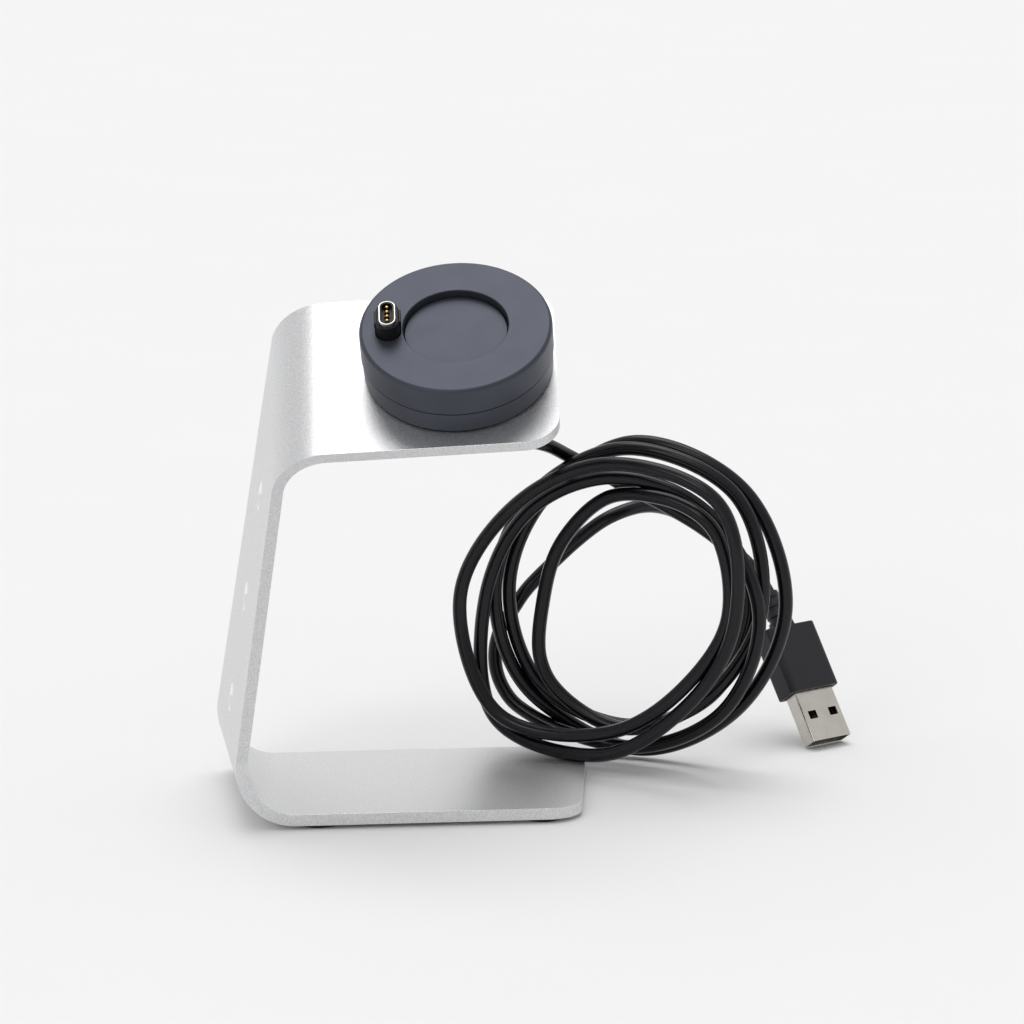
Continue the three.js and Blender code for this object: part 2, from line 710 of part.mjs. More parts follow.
/** The outline of the sleeve, let out by `margin` all round, with its own corner radius. */
function sleeveOutline(margin, radius) {
  return roundedRectangle(PLUG_WIDTH + 2 * margin, PLUG_THICKNESS + 2 * margin, radius);
}

function plugShell() {
  const body = raised(sleeveOutline(0, PLUG_CORNER), 0, PLUG_SHELL_LENGTH, 3);
  const bore = raised(sleeveOutline(-PLUG_WALL, PLUG_CORNER / 2), -1, PLUG_SHELL_LENGTH - PLUG_WALL, 3);
  const windows = [-1, 1].map((side) => {
    const through = block(WINDOW_WIDTH, 2 * PLUG_THICKNESS, 0, WINDOW_LENGTH);
    return through.translate(side * WINDOW_OFFSET, 0, WINDOW_FROM_TIP - WINDOW_LENGTH / 2);
  });
  return cut(body, bore, ...windows);
}

function plugTongue() {
  const bar = block(TONGUE_WIDTH, TONGUE_THICKNESS, TONGUE_FROM, TONGUE_TO);
  return bar.translate(0, TONGUE_Y, 0);
}

function plugContact(index) {
  const place = index - 1.5;
  const isData = Math.abs(place) < 1; // the two data contacts start further in
  const from = isData ? 1.8 : 1.0;
  const strip = block(CONTACT_WIDTH, CONTACT_THICKNESS, from, CONTACT_END);
  return strip.translate(place * CONTACT_PITCH, TONGUE_Y - TONGUE_THICKNESS / 2 - 0.15, 0);
}

function plugGrip() {
  const outline = roundedRectangle(GRIP_WIDTH, GRIP_THICKNESS, GRIP_CORNER);
  const body = raised(outline, PLUG_EXPOSED, PLUG_EXPOSED + GRIP_LENGTH, 5);
  const pocket = raised(sleeveOutline(GAP, 0.7), PLUG_EXPOSED - 1, PLUG_SHELL_LENGTH + GAP, 3);
  return cut(body, pocket);
}

// ---------------------------------------------------------------- assembly

function puckGroup() {
  const boot = taperedRelief(BOOT_TOP, BOOT_BOTTOM, BOOT_WIDE, BOOT_NARROW, BOOT_RIBS);
  const puck = new THREE.Group();
  puck.matrix.makeBasis(plateAlong, upperBendLine, plateOut).setPosition(puckSeat);
  puck.matrix.decompose(puck.position, puck.quaternion, puck.scale);
  puck.add(
    named("adhesive_ring", adhesiveRing(), tape()),
    named("puck_lower_shell", lowerShell(), puckPlastic()),
    named("puck_upper_shell", upperShell(), puckPlastic()),
    named("recess_insert", recessInsert(), puckPlastic()),
    named("circuit_board", circuitBoard(), greenBoard()),
    named("gland_nut", glandNut(), blackPlastic()),
    named("lead_boot", boot, blackPlastic()),
    named("lead_inside", disc(LEAD_RADIUS, STUB_END, BOARD_BOTTOM - GAP, 16), leadJacket()),
    connectorGroup(),
  );
  SCREW_ANGLES.forEach((angle, i) => {
    puck.add(named(`shell_screw_${i + 1}`, onScrewCircle(shellScrew(), angle), steel()));
  });
  return puck;
}

function connectorGroup() {
  const connector = new THREE.Group();
  connector.position.set(CONNECTOR_X, CONNECTOR_Y, 0);
  connector.add(
    named("connector_housing", connectorHousing(), blackPlastic()),
    named("connector_rim", connectorRim(), steel()),
    named("pin_block", pinBlock(), blackPlastic()),
    named("side_tab_left", sideTab(-1), blackPlastic()),
    named("side_tab_right", sideTab(1), blackPlastic()),
  );
  pinPlaces.forEach((y, i) => {
    connector.add(
      named(`pin_barrel_${i + 1}`, pinBarrel().translate(0, y, 0), gold()),
      named(`pin_spring_${i + 1}`, pinSpring().translate(0, y, 0), steel()),
      named(`spring_pin_${i + 1}`, pinPlunger().translate(0, y, 0), gold()),
    );
  });
  return connector;
}

function plugGroup() {
  const plug = new THREE.Group();
  const reliefFrom = PLUG_EXPOSED + GRIP_LENGTH + GAP;
  const reliefTo = reliefFrom - GAP + RELIEF_LENGTH;
  const relief = taperedRelief(reliefFrom, reliefTo, RELIEF_WIDE, RELIEF_NARROW, RELIEF_RIBS);
  plug.position.copy(PLUG_TIP);
  plug.rotation.set(degrees(PLUG_RISE - 90), 0, degrees(PLUG_YAW), "ZYX");
  plug.add(
    named("plug_shell", plugShell(), nickel()),
    named("plug_tongue", plugTongue(), blackPlastic()),
    named("plug_grip", plugGrip(), blackPlastic()),
    named("plug_boot", relief, blackPlastic()),
  );
  for (let i = 0; i < 4; i += 1) plug.add(named(`plug_contact_${i + 1}`, plugContact(i), gold()));
  return plug;
}

function coilGroup() {
  const coil = new THREE.Group();
  coil.position.copy(COIL_CENTRE);
  coil.rotation.z = -degrees(COIL_YAW);
  coil.add(named("lead_coil", coilRing(), leadJacket()));
  return coil;
}

const stand = new THREE.Group();
stand.add(
  named("stand_bracket", standBracket(), aluminium()),
  puckGroup(),
  coilGroup(),
  plugGroup(),
  named("lead_free", leadTube(LEAD_ROUTE, 8), leadJacket()),
  named("lead_tail", leadTube(TAIL_ROUTE, 13), leadJacket()),
);
FOOT_XS.forEach((x, column) => {
  FOOT_YS.forEach((y, row) => {
    const side = column === 0 ? "left" : "right";
    const end = row === 0 ? "front" : "back";
    const mesh = named(`foot_${end}_${side}`, foot(), rubber());
    mesh.position.set(x, y, 0);
    stand.add(mesh);
  });
});

export default stand;
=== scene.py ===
"""Looks of a smartwatch charging stand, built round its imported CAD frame. Lengths here are in
millimetres, and every mesh, curve and anchor is written in metres."""

import math

import bmesh
import bpy
import numpy as np
from mathutils import Matrix, Vector


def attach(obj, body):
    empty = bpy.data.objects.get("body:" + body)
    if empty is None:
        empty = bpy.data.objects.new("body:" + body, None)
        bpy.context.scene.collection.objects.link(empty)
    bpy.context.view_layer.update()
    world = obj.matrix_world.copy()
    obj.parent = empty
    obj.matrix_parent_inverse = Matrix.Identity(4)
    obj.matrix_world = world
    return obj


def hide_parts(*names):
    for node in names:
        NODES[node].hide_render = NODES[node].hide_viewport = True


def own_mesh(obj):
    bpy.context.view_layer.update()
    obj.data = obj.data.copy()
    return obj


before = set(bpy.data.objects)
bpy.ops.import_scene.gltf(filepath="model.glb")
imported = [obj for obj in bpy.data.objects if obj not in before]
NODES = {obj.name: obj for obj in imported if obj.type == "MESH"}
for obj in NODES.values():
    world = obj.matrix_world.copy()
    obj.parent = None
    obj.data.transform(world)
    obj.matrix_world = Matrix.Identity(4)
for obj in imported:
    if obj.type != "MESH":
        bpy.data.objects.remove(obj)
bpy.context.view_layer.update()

MM = 0.001

# ------------------------------------------------------------------ dimensions
# These are the CAD's, except the few marked "here only", which are finer detail than the CAD has.

GAP = 0.3

SHEET = 2.7
BASE_RIGHT_X = 38.4
BASE_FRONT_Y = -24.6
BASE_UNDER_Z = 1.0
BASE_LENGTH = 66.3
BASE_DEPTH = 54.8
BASE_END_SKEW = math.radians(7.4)
LOWER_BEND_YAW = math.radians(2.2)
WALL_LEAN = math.radians(8.65)
WALL_HEIGHT = 63.3
WALL_FRONT_SETBACK = math.radians(5.9)
UPPER_BEND_RISE = math.radians(32.0)
UPPER_BEND_TURN = math.radians(75.6)
LOWER_BEND_RADIUS = 14.0
UPPER_BEND_RADIUS = 13.6
PLATE_LENGTH = 53.7
PLATE_DEPTH = 51.6
CORNER_RADIUS = 8.5
WALL_HOLE_RADIUS = 2.5
WALL_HOLE_HEIGHTS = (7.8, 32.4, 56.6)
WALL_HOLE_DEPTH = 29.0
PLATE_HOLE_RADIUS = 4.2
EDGE_CHAMFER = 0.36  # here only
COUNTERSINK = 0.85  # here only

FOOT_RADIUS = 5.0
FOOT_HEIGHT = 0.95
FOOT_XS = (-22.4, 29.8)
FOOT_YS = (-18.3, 22.5)

PUCK_ALONG = 31.1
PUCK_INWARD = 26.45
PUCK_RADIUS = 22.3
LOWER_SHELL_RADIUS = 21.9
PARTING_HEIGHT = 5.75
PUCK_HEIGHT = 13.0
PUCK_EDGE_ROUND = 1.0
SHELL_WALL = 1.7
SKIRT_WIDTH = 2.4
SKIRT_TOP = 1.0
SHELL_FLOOR = 2.4
WELL_WALL = 1.6
PARTING_STEP = 0.12  # here only
RECESS_RADIUS = 12.2
RECESS_FLOOR = 11.2
INSERT_THICKNESS = 0.8
LEDGE_RADIUS = 10.9
LEDGE_TOP = RECESS_FLOOR - INSERT_THICKNESS - GAP
WELL_BOTTOM = LEDGE_TOP - 0.5
CEILING = 11.4
STUB_RADIUS = 3.9
STUB_BORE = 2.2
STUB_END = -6.4

CONNECTOR_X = -15.5
CONNECTOR_Y = 0.95
CONNECTOR_BOTTOM = 8.0
HOUSING = (5.4, 8.9, 2.6)
HOUSING_TOP = 16.7
HOUSING_EDGE = 0.45  # here only
POCKET = (0.7, 4.6, 0.2)
POCKET_ENDS = (14.0, 16.2)
TAB = (0.6, 4.2, 0.25)
TAB_ENDS = (14.2, 16.0)
TAB_PROUD = 0.1
TAB_Y = 0.4
RIM_SIZE = (3.9, 8.1)
RIM_WALL = 0.35
RIM_TOP = 17.5
RIM_ROLL = 0.12  # here only
RIM_BOTTOM = CONNECTOR_BOTTOM + 0.2
CARRIER_BOTTOM = CONNECTOR_BOTTOM + 0.4
CARRIER_LIP_TOP = RIM_TOP - 0.08  # here only
PIN_PITCH = 1.5
PIN_RADIUS = 0.36
PIN_NUMBERS = (1, 2, 3, 4)
PIN_COLLAR_RADIUS = 0.47
PIN_TIP = RIM_TOP - 0.1
PIN_TIP_ROUND = 0.24
BARREL_RADIUS = 0.66
BARREL_BORE = 0.52
BARREL_TOP = 15.9
BARREL_FLOOR = CONNECTOR_BOTTOM + 0.4
BARREL_LIP = 0.3
PIN_BLOCK_TOP = 16.4
COLLAR_BOTTOM = 13.6
SPRING_BOTTOM = 8.45
SPRING_WIRE = 0.08  # radius
SPRING_TURNS = 6

LEAD_RADIUS = 1.7
BOOT_TOP = STUB_END - GAP
BOOT_LENGTH = 10.0
BOOT_BOTTOM = BOOT_TOP - BOOT_LENGTH
BOOT_RADII = (3.7, 2.3)
BOOT_RIBS = 4
INTO_BOOT = 2.0
NUT_FLATS = 15.0
NUT_CORNER_RADIUS = 8.45
NUT_FACE_RADIUS = 7.1
COIL_CENTRE = np.array((53.4, 22.9, 41.4))
COIL_YAW = math.radians(28)

PLUG_TIP = (106.0, 36.9, 1.35)
PLUG_YAW = math.radians(31.6)
PLUG_RISE = math.radians(54.7)
SLEEVE = (12.0, 4.5)
SLEEVE_LENGTH = 18.6
SLEEVE_WALL = 0.32
PLUG_EXPOSED = 13.0
WINDOW_WIDTH = 2.5
WINDOW_X = 3.2
WINDOW_ENDS = (5.65, 7.75)
GRIP = (15.0, 7.6, 1.6)
GRIP_EDGE = 0.35
GRIP_LENGTH = 17.2
RELIEF_LENGTH = 10.0
RELIEF_RADII = (3.2, 2.2)
RELIEF_RIBS = 3
PLUG_END = PLUG_EXPOSED + GRIP_LENGTH + RELIEF_LENGTH

# The photo's viewpoint, solved from the bracket's corners.
CAMERA_PLACE = (-85.27, -1151.45, 328.78)
CAMERA_RIGHT = (0.9955, -0.0948, 0.0)
CAMERA_FORWARD = (0.0926, 0.9713, -0.2192)
CAMERA_LENS = 178.0


def unit(vector):
    return vector / np.linalg.norm(vector)


def turn(first, second, angle):
    return first * math.cos(angle) + second * math.sin(angle)


UP = np.array((0.0, 0.0, 1.0))
LOWER_LINE = np.array((-math.sin(LOWER_BEND_YAW), math.cos(LOWER_BEND_YAW), 0.0))
ACROSS_BEND = np.array((LOWER_LINE[1], -LOWER_LINE[0], 0.0))
WALL_UP = turn(UP, ACROSS_BEND, WALL_LEAN)
WALL_OUT = turn(-ACROSS_BEND, UP, WALL_LEAN)
WALL_EDGE = turn(WALL_UP, LOWER_LINE, WALL_FRONT_SETBACK)
UPPER_LINE = turn(LOWER_LINE, WALL_UP, UPPER_BEND_RISE)
OVER_BEND = np.cross(UPPER_LINE, WALL_OUT)
PLATE_OUT = turn(WALL_OUT, OVER_BEND, UPPER_BEND_TURN)
PLATE_ALONG = np.cross(UPPER_LINE, PLATE_OUT)

LOWER_CENTRE = np.array((BASE_RIGHT_X - BASE_LENGTH, BASE_FRONT_Y, BASE_UNDER_Z + LOWER_BEND_RADIUS))
WALL_BOTTOM = LOWER_CENTRE + WALL_OUT * LOWER_BEND_RADIUS
UPPER_CENTRE = WALL_BOTTOM + WALL_EDGE * WALL_HEIGHT - WALL_OUT * UPPER_BEND_RADIUS
PLATE_START = UPPER_CENTRE + PLATE_OUT * UPPER_BEND_RADIUS
PUCK_SEAT = PLATE_START + PLATE_ALONG * PUCK_ALONG + UPPER_LINE * PUCK_INWARD


def placing(x_axis, y_axis, z_axis, origin):
    """The matrix that puts a piece's own millimetres into the frame's."""
    rows = np.column_stack((x_axis, y_axis, z_axis, origin))
    return Matrix([*rows.tolist(), [0, 0, 0, 1]])


PUCK = placing(PLATE_ALONG, UPPER_LINE, PLATE_OUT, PUCK_SEAT)
CONNECTOR = PUCK @ Matrix.Translation((CONNECTOR_X, CONNECTOR_Y, 0))
PLUG = (
    Matrix.Translation(PLUG_TIP)
    @ Matrix.Rotation(PLUG_YAW, 4, "Z")
    @ Matrix.Rotation(PLUG_RISE - math.pi / 2, 4, "X")
)


def linked(name, data):
    """A new object in the scene, made from its data."""
    new = bpy.data.objects.new(name, data)
    bpy.context.scene.collection.objects.link(new)
    return new


# ------------------------------------------------------------------ camera


def make_camera():
    forward = unit(np.array(CAMERA_FORWARD))
    above = unit(np.cross(unit(np.array(CAMERA_RIGHT)), forward))
    right = np.cross(forward, above)
    data = bpy.data.cameras.new("camera")
    data.sensor_width = 36.0
    data.lens = CAMERA_LENS
    data.clip_start = 0.01
    data.clip_end = 50.0
    camera = linked("camera", data)
    camera.matrix_world = placing(right, above, -forward, np.array(CAMERA_PLACE) * MM)
    bpy.context.scene.camera = camera


make_camera()

# ------------------------------------------------------------------ node helpers


def new_finish(name, colour, roughness, metallic=0.0, **sockets):
    """A Principled material. Returns it with its node tree and its shader."""
    material = bpy.data.materials.new(name)
    material.use_nodes = True
    tree = material.node_tree
    shader = tree.nodes["Principled BSDF"]
    shader.inputs["Base Color"].default_value = (*colour, 1.0)
    shader.inputs["Roughness"].default_value = roughness
    shader.inputs["Metallic"].default_value = metallic
    for socket, value in sockets.items():
        shader.inputs[socket.replace("_", " ")].default_value = value
    return material, tree, shader


def noise(tree, size, detail, stretch=(1.0, 1.0, 1.0), roughness=0.5):
    """Noise whose features are about `size` millimetres across in the object's own frame."""
    coordinates = tree.nodes.new("ShaderNodeTexCoord")
    mapping = tree.nodes.new("ShaderNodeMapping")
    mapping.inputs["Scale"].default_value = stretch
    texture = tree.nodes.new("ShaderNodeTexNoise")
    texture.inputs["Scale"].default_value = 1.0 / (size * MM)
    texture.inputs["Detail"].default_value = detail
    texture.inputs["Roughness"].default_value = roughness
    tree.links.new(coordinates.outputs["Object"], mapping.inputs["Vector"])
    tree.links.new(mapping.outputs["Vector"], texture.inputs["Vector"])
    return texture.outputs["Fac"]


def spread(tree, value, low, high, from_low=0.3, from_high=0.7):
    """Maps a value onto low to high, from a noise's usual range unless another is given."""
    node = tree.nodes.new("ShaderNodeMapRange")
    node.inputs["From Min"].default_value = from_low
    node.inputs["From Max"].default_value = from_high
    node.inputs["To Min"].default_value = low
    node.inputs["To Max"].default_value = high
    tree.links.new(value, node.inputs["Value"])
    return node.outputs["Result"]


def blend_colours(tree, factor, first, second):
    """first and second are colours, or sockets that carry one."""
    node = tree.nodes.new("ShaderNodeMix")
    node.data_type = "RGBA"
    tree.links.new(factor, node.inputs["Factor"])
    for name, value in (("A", first), ("B", second)):
        socket = next(s for s in node.inputs if s.name == name and s.type == "RGBA")
        if isinstance(value, tuple):
            socket.default_value = (*value, 1.0)
        else:
            tree.links.new(value, socket)
    return next(s for s in node.outputs if s.type == "RGBA")


def bumped(tree, shader, height, strength, depth, under=None):
    """Adds a bump of `depth` millimetres to the shader. `under` is an earlier bump's output."""
    node = tree.nodes.new("ShaderNodeBump")
    node.inputs["Strength"].default_value = strength
    node.inputs["Distance"].default_value = depth * MM
    tree.links.new(height, node.inputs["Height"])
    if under:
        tree.links.new(under, node.inputs["Normal"])
    tree.links.new(node.outputs["Normal"], shader.inputs["Normal"])
    return node.outputs["Normal"]


# ------------------------------------------------------------------ finishes


def blasted_aluminium():
    """Silver anodised sheet with a bead-blasted grain that glints here and there."""
    material, tree, shader = new_finish("blasted_aluminium", (0.76, 0.765, 0.78), 0.42, 1.0)
    grain = noise(tree, 0.34, 2.0, roughness=0.6)
    cloud = noise(tree, 9.0, 3.0)
    pits = noise(tree, 0.7, 1.0)
    share = spread(tree, grain, 0, 1, 0.36, 0.64)
    tone = blend_colours(tree, share, (0.61, 0.612, 0.62), (0.80, 0.802, 0.81))
    shade = blend_colours(tree, spread(tree, cloud, 0.0, 0.16), tone, (0.67, 0.67, 0.68))
    tree.links.new(shade, shader.inputs["Base Color"])
    tree.links.new(spread(tree, grain, 0.34, 0.50), shader.inputs["Roughness"])
    first = bumped(tree, shader, grain, 0.5, 0.045)
    bumped(tree, shader, pits, 0.15, 0.03, first)
    return material


def cut_aluminium():
    """The bright chamfer that was cut round the sheet's edges after blasting."""
    material, tree, shader = new_finish("cut_aluminium", (0.92, 0.925, 0.93), 0.2, 1.0)
    streaks = noise(tree, 0.15, 2.0, (1.0, 0.15, 1.0))
    tree.links.new(spread(tree, streaks, 0.14, 0.28), shader.inputs["Roughness"])
    bumped(tree, shader, streaks, 0.1, 0.01)
    return material


def moulded(name, colour, light, roughness, grain_size, grain_depth, **sockets):
    """Moulded plastic or rubber: fine spark-eroded grain, slight mottling and a little dust."""
    material, tree, shader = new_finish(name, colour, roughness, **sockets)
    grain = noise(tree, grain_size, 3.0, roughness=0.6)
    cloud = noise(tree, 6.0, 4.0)
    dust = noise(tree, 0.9, 1.0)
    tone = blend_colours(tree, spread(tree, cloud, 0.0, 0.25), colour, light)
    specks = spread(tree, dust, 0.0, 0.5, 0.74, 0.80)
    tone = blend_colours(tree, specks, tone, tuple(min(1.0, 3.0 * c) for c in light))
    tree.links.new(tone, shader.inputs["Base Color"])
    tree.links.new(spread(tree, cloud, roughness - 0.02, roughness + 0.02), shader.inputs["Roughness"])
    bumped(tree, shader, grain, 0.3, grain_depth)
    return material


def jacket():
    """Glossy black vinyl with faint drag marks and a little handling dust."""
    colour = (0.0035, 0.0035, 0.0055)
    material, tree, shader = new_finish("lead_jacket", colour, 0.22, Specular_IOR_Level=0.3)
    ripple = noise(tree, 2.6, 2.0)
    smear = noise(tree, 14.0, 3.0)
    fine = noise(tree, 0.35, 2.0)
    share = spread(tree, smear, 0.0, 1.0)
    tone = blend_colours(tree, share, (0.0022, 0.0023, 0.0040), (0.0048, 0.0049, 0.0075))
    tree.links.new(tone, shader.inputs["Base Color"])
    tree.links.new(spread(tree, smear, 0.18, 0.27), shader.inputs["Roughness"])
    first = bumped(tree, shader, ripple, 0.2, 0.06)
    bumped(tree, shader, fine, 0.08, 0.02, first)
    return material


def plated(name, colour, pale, roughness, streak_size=0.25):
    """Plated or drawn metal, with streaks that run upwards."""
    material, tree, shader = new_finish(name, colour, roughness, 1.0)
    streaks = noise(tree, streak_size, 3.0, (1.0, 1.0, 0.3))
    cloud = noise(tree, 4.0, 2.0)
    tone = blend_colours(tree, spread(tree, cloud, 0.0, 0.8), colour, pale)
    tree.links.new(tone, shader.inputs["Base Color"])
    tree.links.new(spread(tree, streaks, roughness - 0.06, roughness + 0.08), shader.inputs["Roughness"])
    bumped(tree, shader, streaks, 0.08, 0.01)
    return material


def board_finish():
    """Green solder mask over a copper pour."""
    material, tree, shader = new_finish("board_green", (0.02, 0.12, 0.05), 0.35)
    pour = noise(tree, 2.0, 0.0)
    weave = noise(tree, 0.4, 1.0)
    share = spread(tree, pour, 0, 1, 0.48, 0.52)
    tone = blend_colours(tree, share, (0.012, 0.08, 0.035), (0.03, 0.17, 0.07))
    tree.links.new(tone, shader.inputs["Base Color"])
    bumped(tree, shader, weave, 0.2, 0.02)
    return material


BRACKET_METAL = blasted_aluminium()
BRACKET_EDGE = cut_aluminium()
PUCK_PLASTIC = moulded(
    "puck_plastic",
    (0.024, 0.025, 0.031),
    (0.030, 0.031, 0.038),
    0.40,
    0.3,
    0.045,
    Specular_Tint=(0.96, 1.04, 1.34, 1.0),
)
CONNECTOR_PLASTIC = moulded(
    "connector_plastic",
    (0.006, 0.006, 0.007),
    (0.010, 0.010, 0.012),
    0.4,
    0.2,
    0.02,
    Specular_IOR_Level=0.25,
)
PLUG_PLASTIC = moulded(
    "plug_plastic",
    (0.008, 0.008, 0.012),
    (0.013, 0.013, 0.018),
    0.46,
    0.3,
    0.04,
    Specular_IOR_Level=0.4,
)
RUBBER = moulded("foot_rubber", (0.012, 0.012, 0.012), (0.02, 0.02, 0.02), 0.8, 0.25, 0.04)
TAPE = moulded("tape_black", (0.02, 0.02, 0.022), (0.03, 0.03, 0.032), 0.9, 0.4, 0.05)
JACKET = jacket()
NICKEL = plated("plug_nickel", (0.58, 0.55, 0.50), (0.66, 0.635, 0.585), 0.24, 0.8)
STEEL = plated("screw_steel", (0.62, 0.62, 0.61), (0.7, 0.7, 0.69), 0.25)
RIM_STEEL = plated("rim_steel", (0.62, 0.61, 0.58), (0.70, 0.69, 0.67), 0.2)
GOLD = plated("contact_gold", (0.62, 0.38, 0.11), (0.74, 0.50, 0.19), 0.26, 0.12)
BOARD = board_finish()

# ------------------------------------------------------------------ mesh helpers


def show(name, mesh, finishes, replaced, body="stand"):
    """Makes the piece's object, gives it its finishes and fixes it to its body."""
    piece = linked(name, mesh)
    for finish in finishes:
        piece.data.materials.append(finish)
    weighted = piece.modifiers.new("flat_faces_stay_flat", "WEIGHTED_NORMAL")
    weighted.weight = 90
    weighted.keep_sharp = True
    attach(piece, body)
    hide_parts(*replaced)
    return piece


def mesh_of(name, points, faces, place=None, sharp=35.0):
    """A mesh in metres from points in millimetres, outward-facing, smooth except at sharp edges."""
    mesh = bpy.data.meshes.new(name)
    mesh.from_pydata([tuple(p) for p in points], [], faces)
    if place is not None:
        mesh.transform(place)
    mesh.transform(Matrix.Scale(MM, 4))
    work = bmesh.new()
    work.from_mesh(mesh)
    bmesh.ops.recalc_face_normals(work, faces=work.faces)
    work.to_mesh(mesh)
    work.free()
    mesh.shade_smooth()
    mesh.set_sharp_from_angle(angle=math.radians(sharp))
    return mesh


def rounded(outline, steps):
    """Rounds an outline's corners in so many steps. A corner is (x, y) or (x, y, radius)."""
    points = []
    for i, (x, y, *radius) in enumerate(outline):
        corner = np.array((x, y), float)
        if not radius or not radius[0]:
            points.append(corner)
            continue
        before = unit(np.array(outline[i - 1][:2], float) - corner)
        after = unit(np.array(outline[(i + 1) % len(outline)][:2], float) - corner)
        half = math.acos(np.clip(before @ after, -1, 1)) / 2
        centre = corner + unit(before + after) * radius[0] / math.sin(half)
        start = corner + before * radius[0] / math.tan(half) - centre
        end = corner + after * radius[0] / math.tan(half) - centre
        sweep = math.atan2(start[0] * end[1] - start[1] * end[0], start @ end)
        side = np.array((-start[1], start[0]))
        points.extend(centre + turn(start, side, sweep * k / steps) for k in range(steps + 1))
    return points


def lathe(name, profile, place, segments, closed=True, steps=5):
    """A solid of revolution. A profile that starts and ends on the axis isn't closed."""
    outline = rounded(profile, steps)
    points = []
    rings = []
    for radius, height in outline:
        if radius < 1e-6:
            rings.append([len(points)])
            points.append((0.0, 0.0, height))
            continue
        rings.append(list(range(len(points), len(points) + segments)))
        for k in range(segments):
            angle = 2 * math.pi * k / segments
            points.append((radius * math.cos(angle), radius * math.sin(angle), height))
    faces = []
    pairs = list(zip(rings, rings[1:] + rings[:1])) if closed else list(zip(rings, rings[1:]))
    for low, high in pairs:
        for k in range(segments):
            after = (k + 1) % segments
            if len(low) == 1:
                faces.append((low[0], high[k], high[after]))
            elif len(high) == 1:
                faces.append((low[k], high[0], low[after]))
            else:
                faces.append((low[k], high[k], high[after], low[after]))
    return mesh_of(name, points, faces, place)


def rounded_rectangle(width, depth, radius, steps=8):
    x, y = width / 2, depth / 2
    radius = min(radius, x - 1e-3, y - 1e-3)
    corners = ((x, y, radius), (-x, y, radius), (-x, -y, radius), (x, -y, radius))
    return rounded(corners, steps)


def loft(name, layers, place, ring=False):
    """Stacked outlines of equal point counts: (outline, height). A ring joins the last to the first."""
    points = []
    count = len(layers[0][0])
    for outline, height in layers:
        points.extend((x, y, height) for x, y in outline)
    faces = []
    for layer in range(len(layers) if ring else len(layers) - 1):
        low = layer * count
        high = (layer + 1) % len(layers) * count
        for k in range(count):
            after = (k + 1) % count
            faces.append((low + k, low + after, high + after, high + k))
    if not ring:
        faces.append(tuple(range(count)))
        faces.append(tuple(len(points) - count + k for k in range(count)))
    return mesh_of(name, points, faces, place)


def straight(name, outline, bottom, top, place):
    """A block with the same outline from bottom to top."""
    return loft(name, [(outline, bottom), (outline, top)], place)


def box_layers(width, depth, radius, bottom, top, edge):
    """Layers of a rounded block whose two ends are rounded by `edge`."""
    steps = 3
    layers = []
    for end, inward in ((bottom, 1), (top, -1)):
        arc = []
        for k in range(steps + 1):
            angle = math.pi / 2 * k / steps
            inset = edge * (1 - math.sin(angle))
            height = end + inward * edge * (1 - math.cos(angle))
            outline = rounded_rectangle(width - 2 * inset, depth - 2 * inset, max(radius - inset, 0.05))
            arc.append((outline, height))
        layers.extend(arc if inward > 0 else arc[::-1])
    return layers


def evaluated(piece):
    """The piece's mesh with its modifiers applied."""
    graph = bpy.context.evaluated_depsgraph_get()
    graph.update()
    return bpy.data.meshes.new_from_object(piece.evaluated_get(graph))


def two_slots(mesh):
    """Empty material slots, without which a mesh can't carry a second material's faces."""
    for _ in range(2):
        mesh.materials.append(None)


def carved(mesh, cutters, sharp=35.0, chamfer=0.0):
    """Cuts the cutters' meshes out of the mesh, then chamfers its sharp edges with material 1."""
    body = linked(mesh.name + "_body", mesh)
    two_slots(mesh)
    tools = []
    for cutter in cutters:
        tool = linked(cutter.name, cutter)
        modifier = body.modifiers.new("cut", "BOOLEAN")
        modifier.operation = "DIFFERENCE"
        modifier.solver = "EXACT"
        modifier.object = tool
        tools.append(tool)
    if chamfer:
        bevel = body.modifiers.new("chamfer", "BEVEL")
        bevel.width = chamfer * MM
        bevel.segments = 2
        bevel.limit_method = "ANGLE"
        bevel.angle_limit = math.radians(40)
        bevel.material = 1
    result = evaluated(body)
    for extra in (body, *tools):
        bpy.data.objects.remove(extra)
    result.name = mesh.name
    finishes = np.zeros(len(result.polygons), dtype=np.int32)
    result.polygons.foreach_get("material_index", finishes)
    result.materials.clear()
    result.polygons.foreach_set("material_index", finishes)
    result.shade_smooth()
    result.set_sharp_from_angle(angle=math.radians(sharp))
    return result


# ------------------------------------------------------------------ lead, wound in a loose coil

LEAD_ROUTE = (
    (13.4, 3.6, 90.2),
    (14.0, 6.0, 86.8),
    (15.5, 9.4, 84.5),
    (18.7, 13.6, 83.2),
    (23.0, 18.0, 82.4),
    (28.5, 23.0, 81.2),
    (33.0, 27.2, 79.6),
    (36.5, 30.5, 78.0),
)
INTO_COIL = (
    (41.9, 35.5, 74.2),
    (47.0, 37.0, 71.2),
    (51.5, 36.2, 68.9),
    (54.7, 34.1, 67.2),
    (60.8, 30.3, 64.9),
    (66.5, 26.7, 62.2),
    (72.2, 23.1, 59.1),
    (78.0, 18.9, 54.7),
    (81.8, 15.7, 47.9),
)
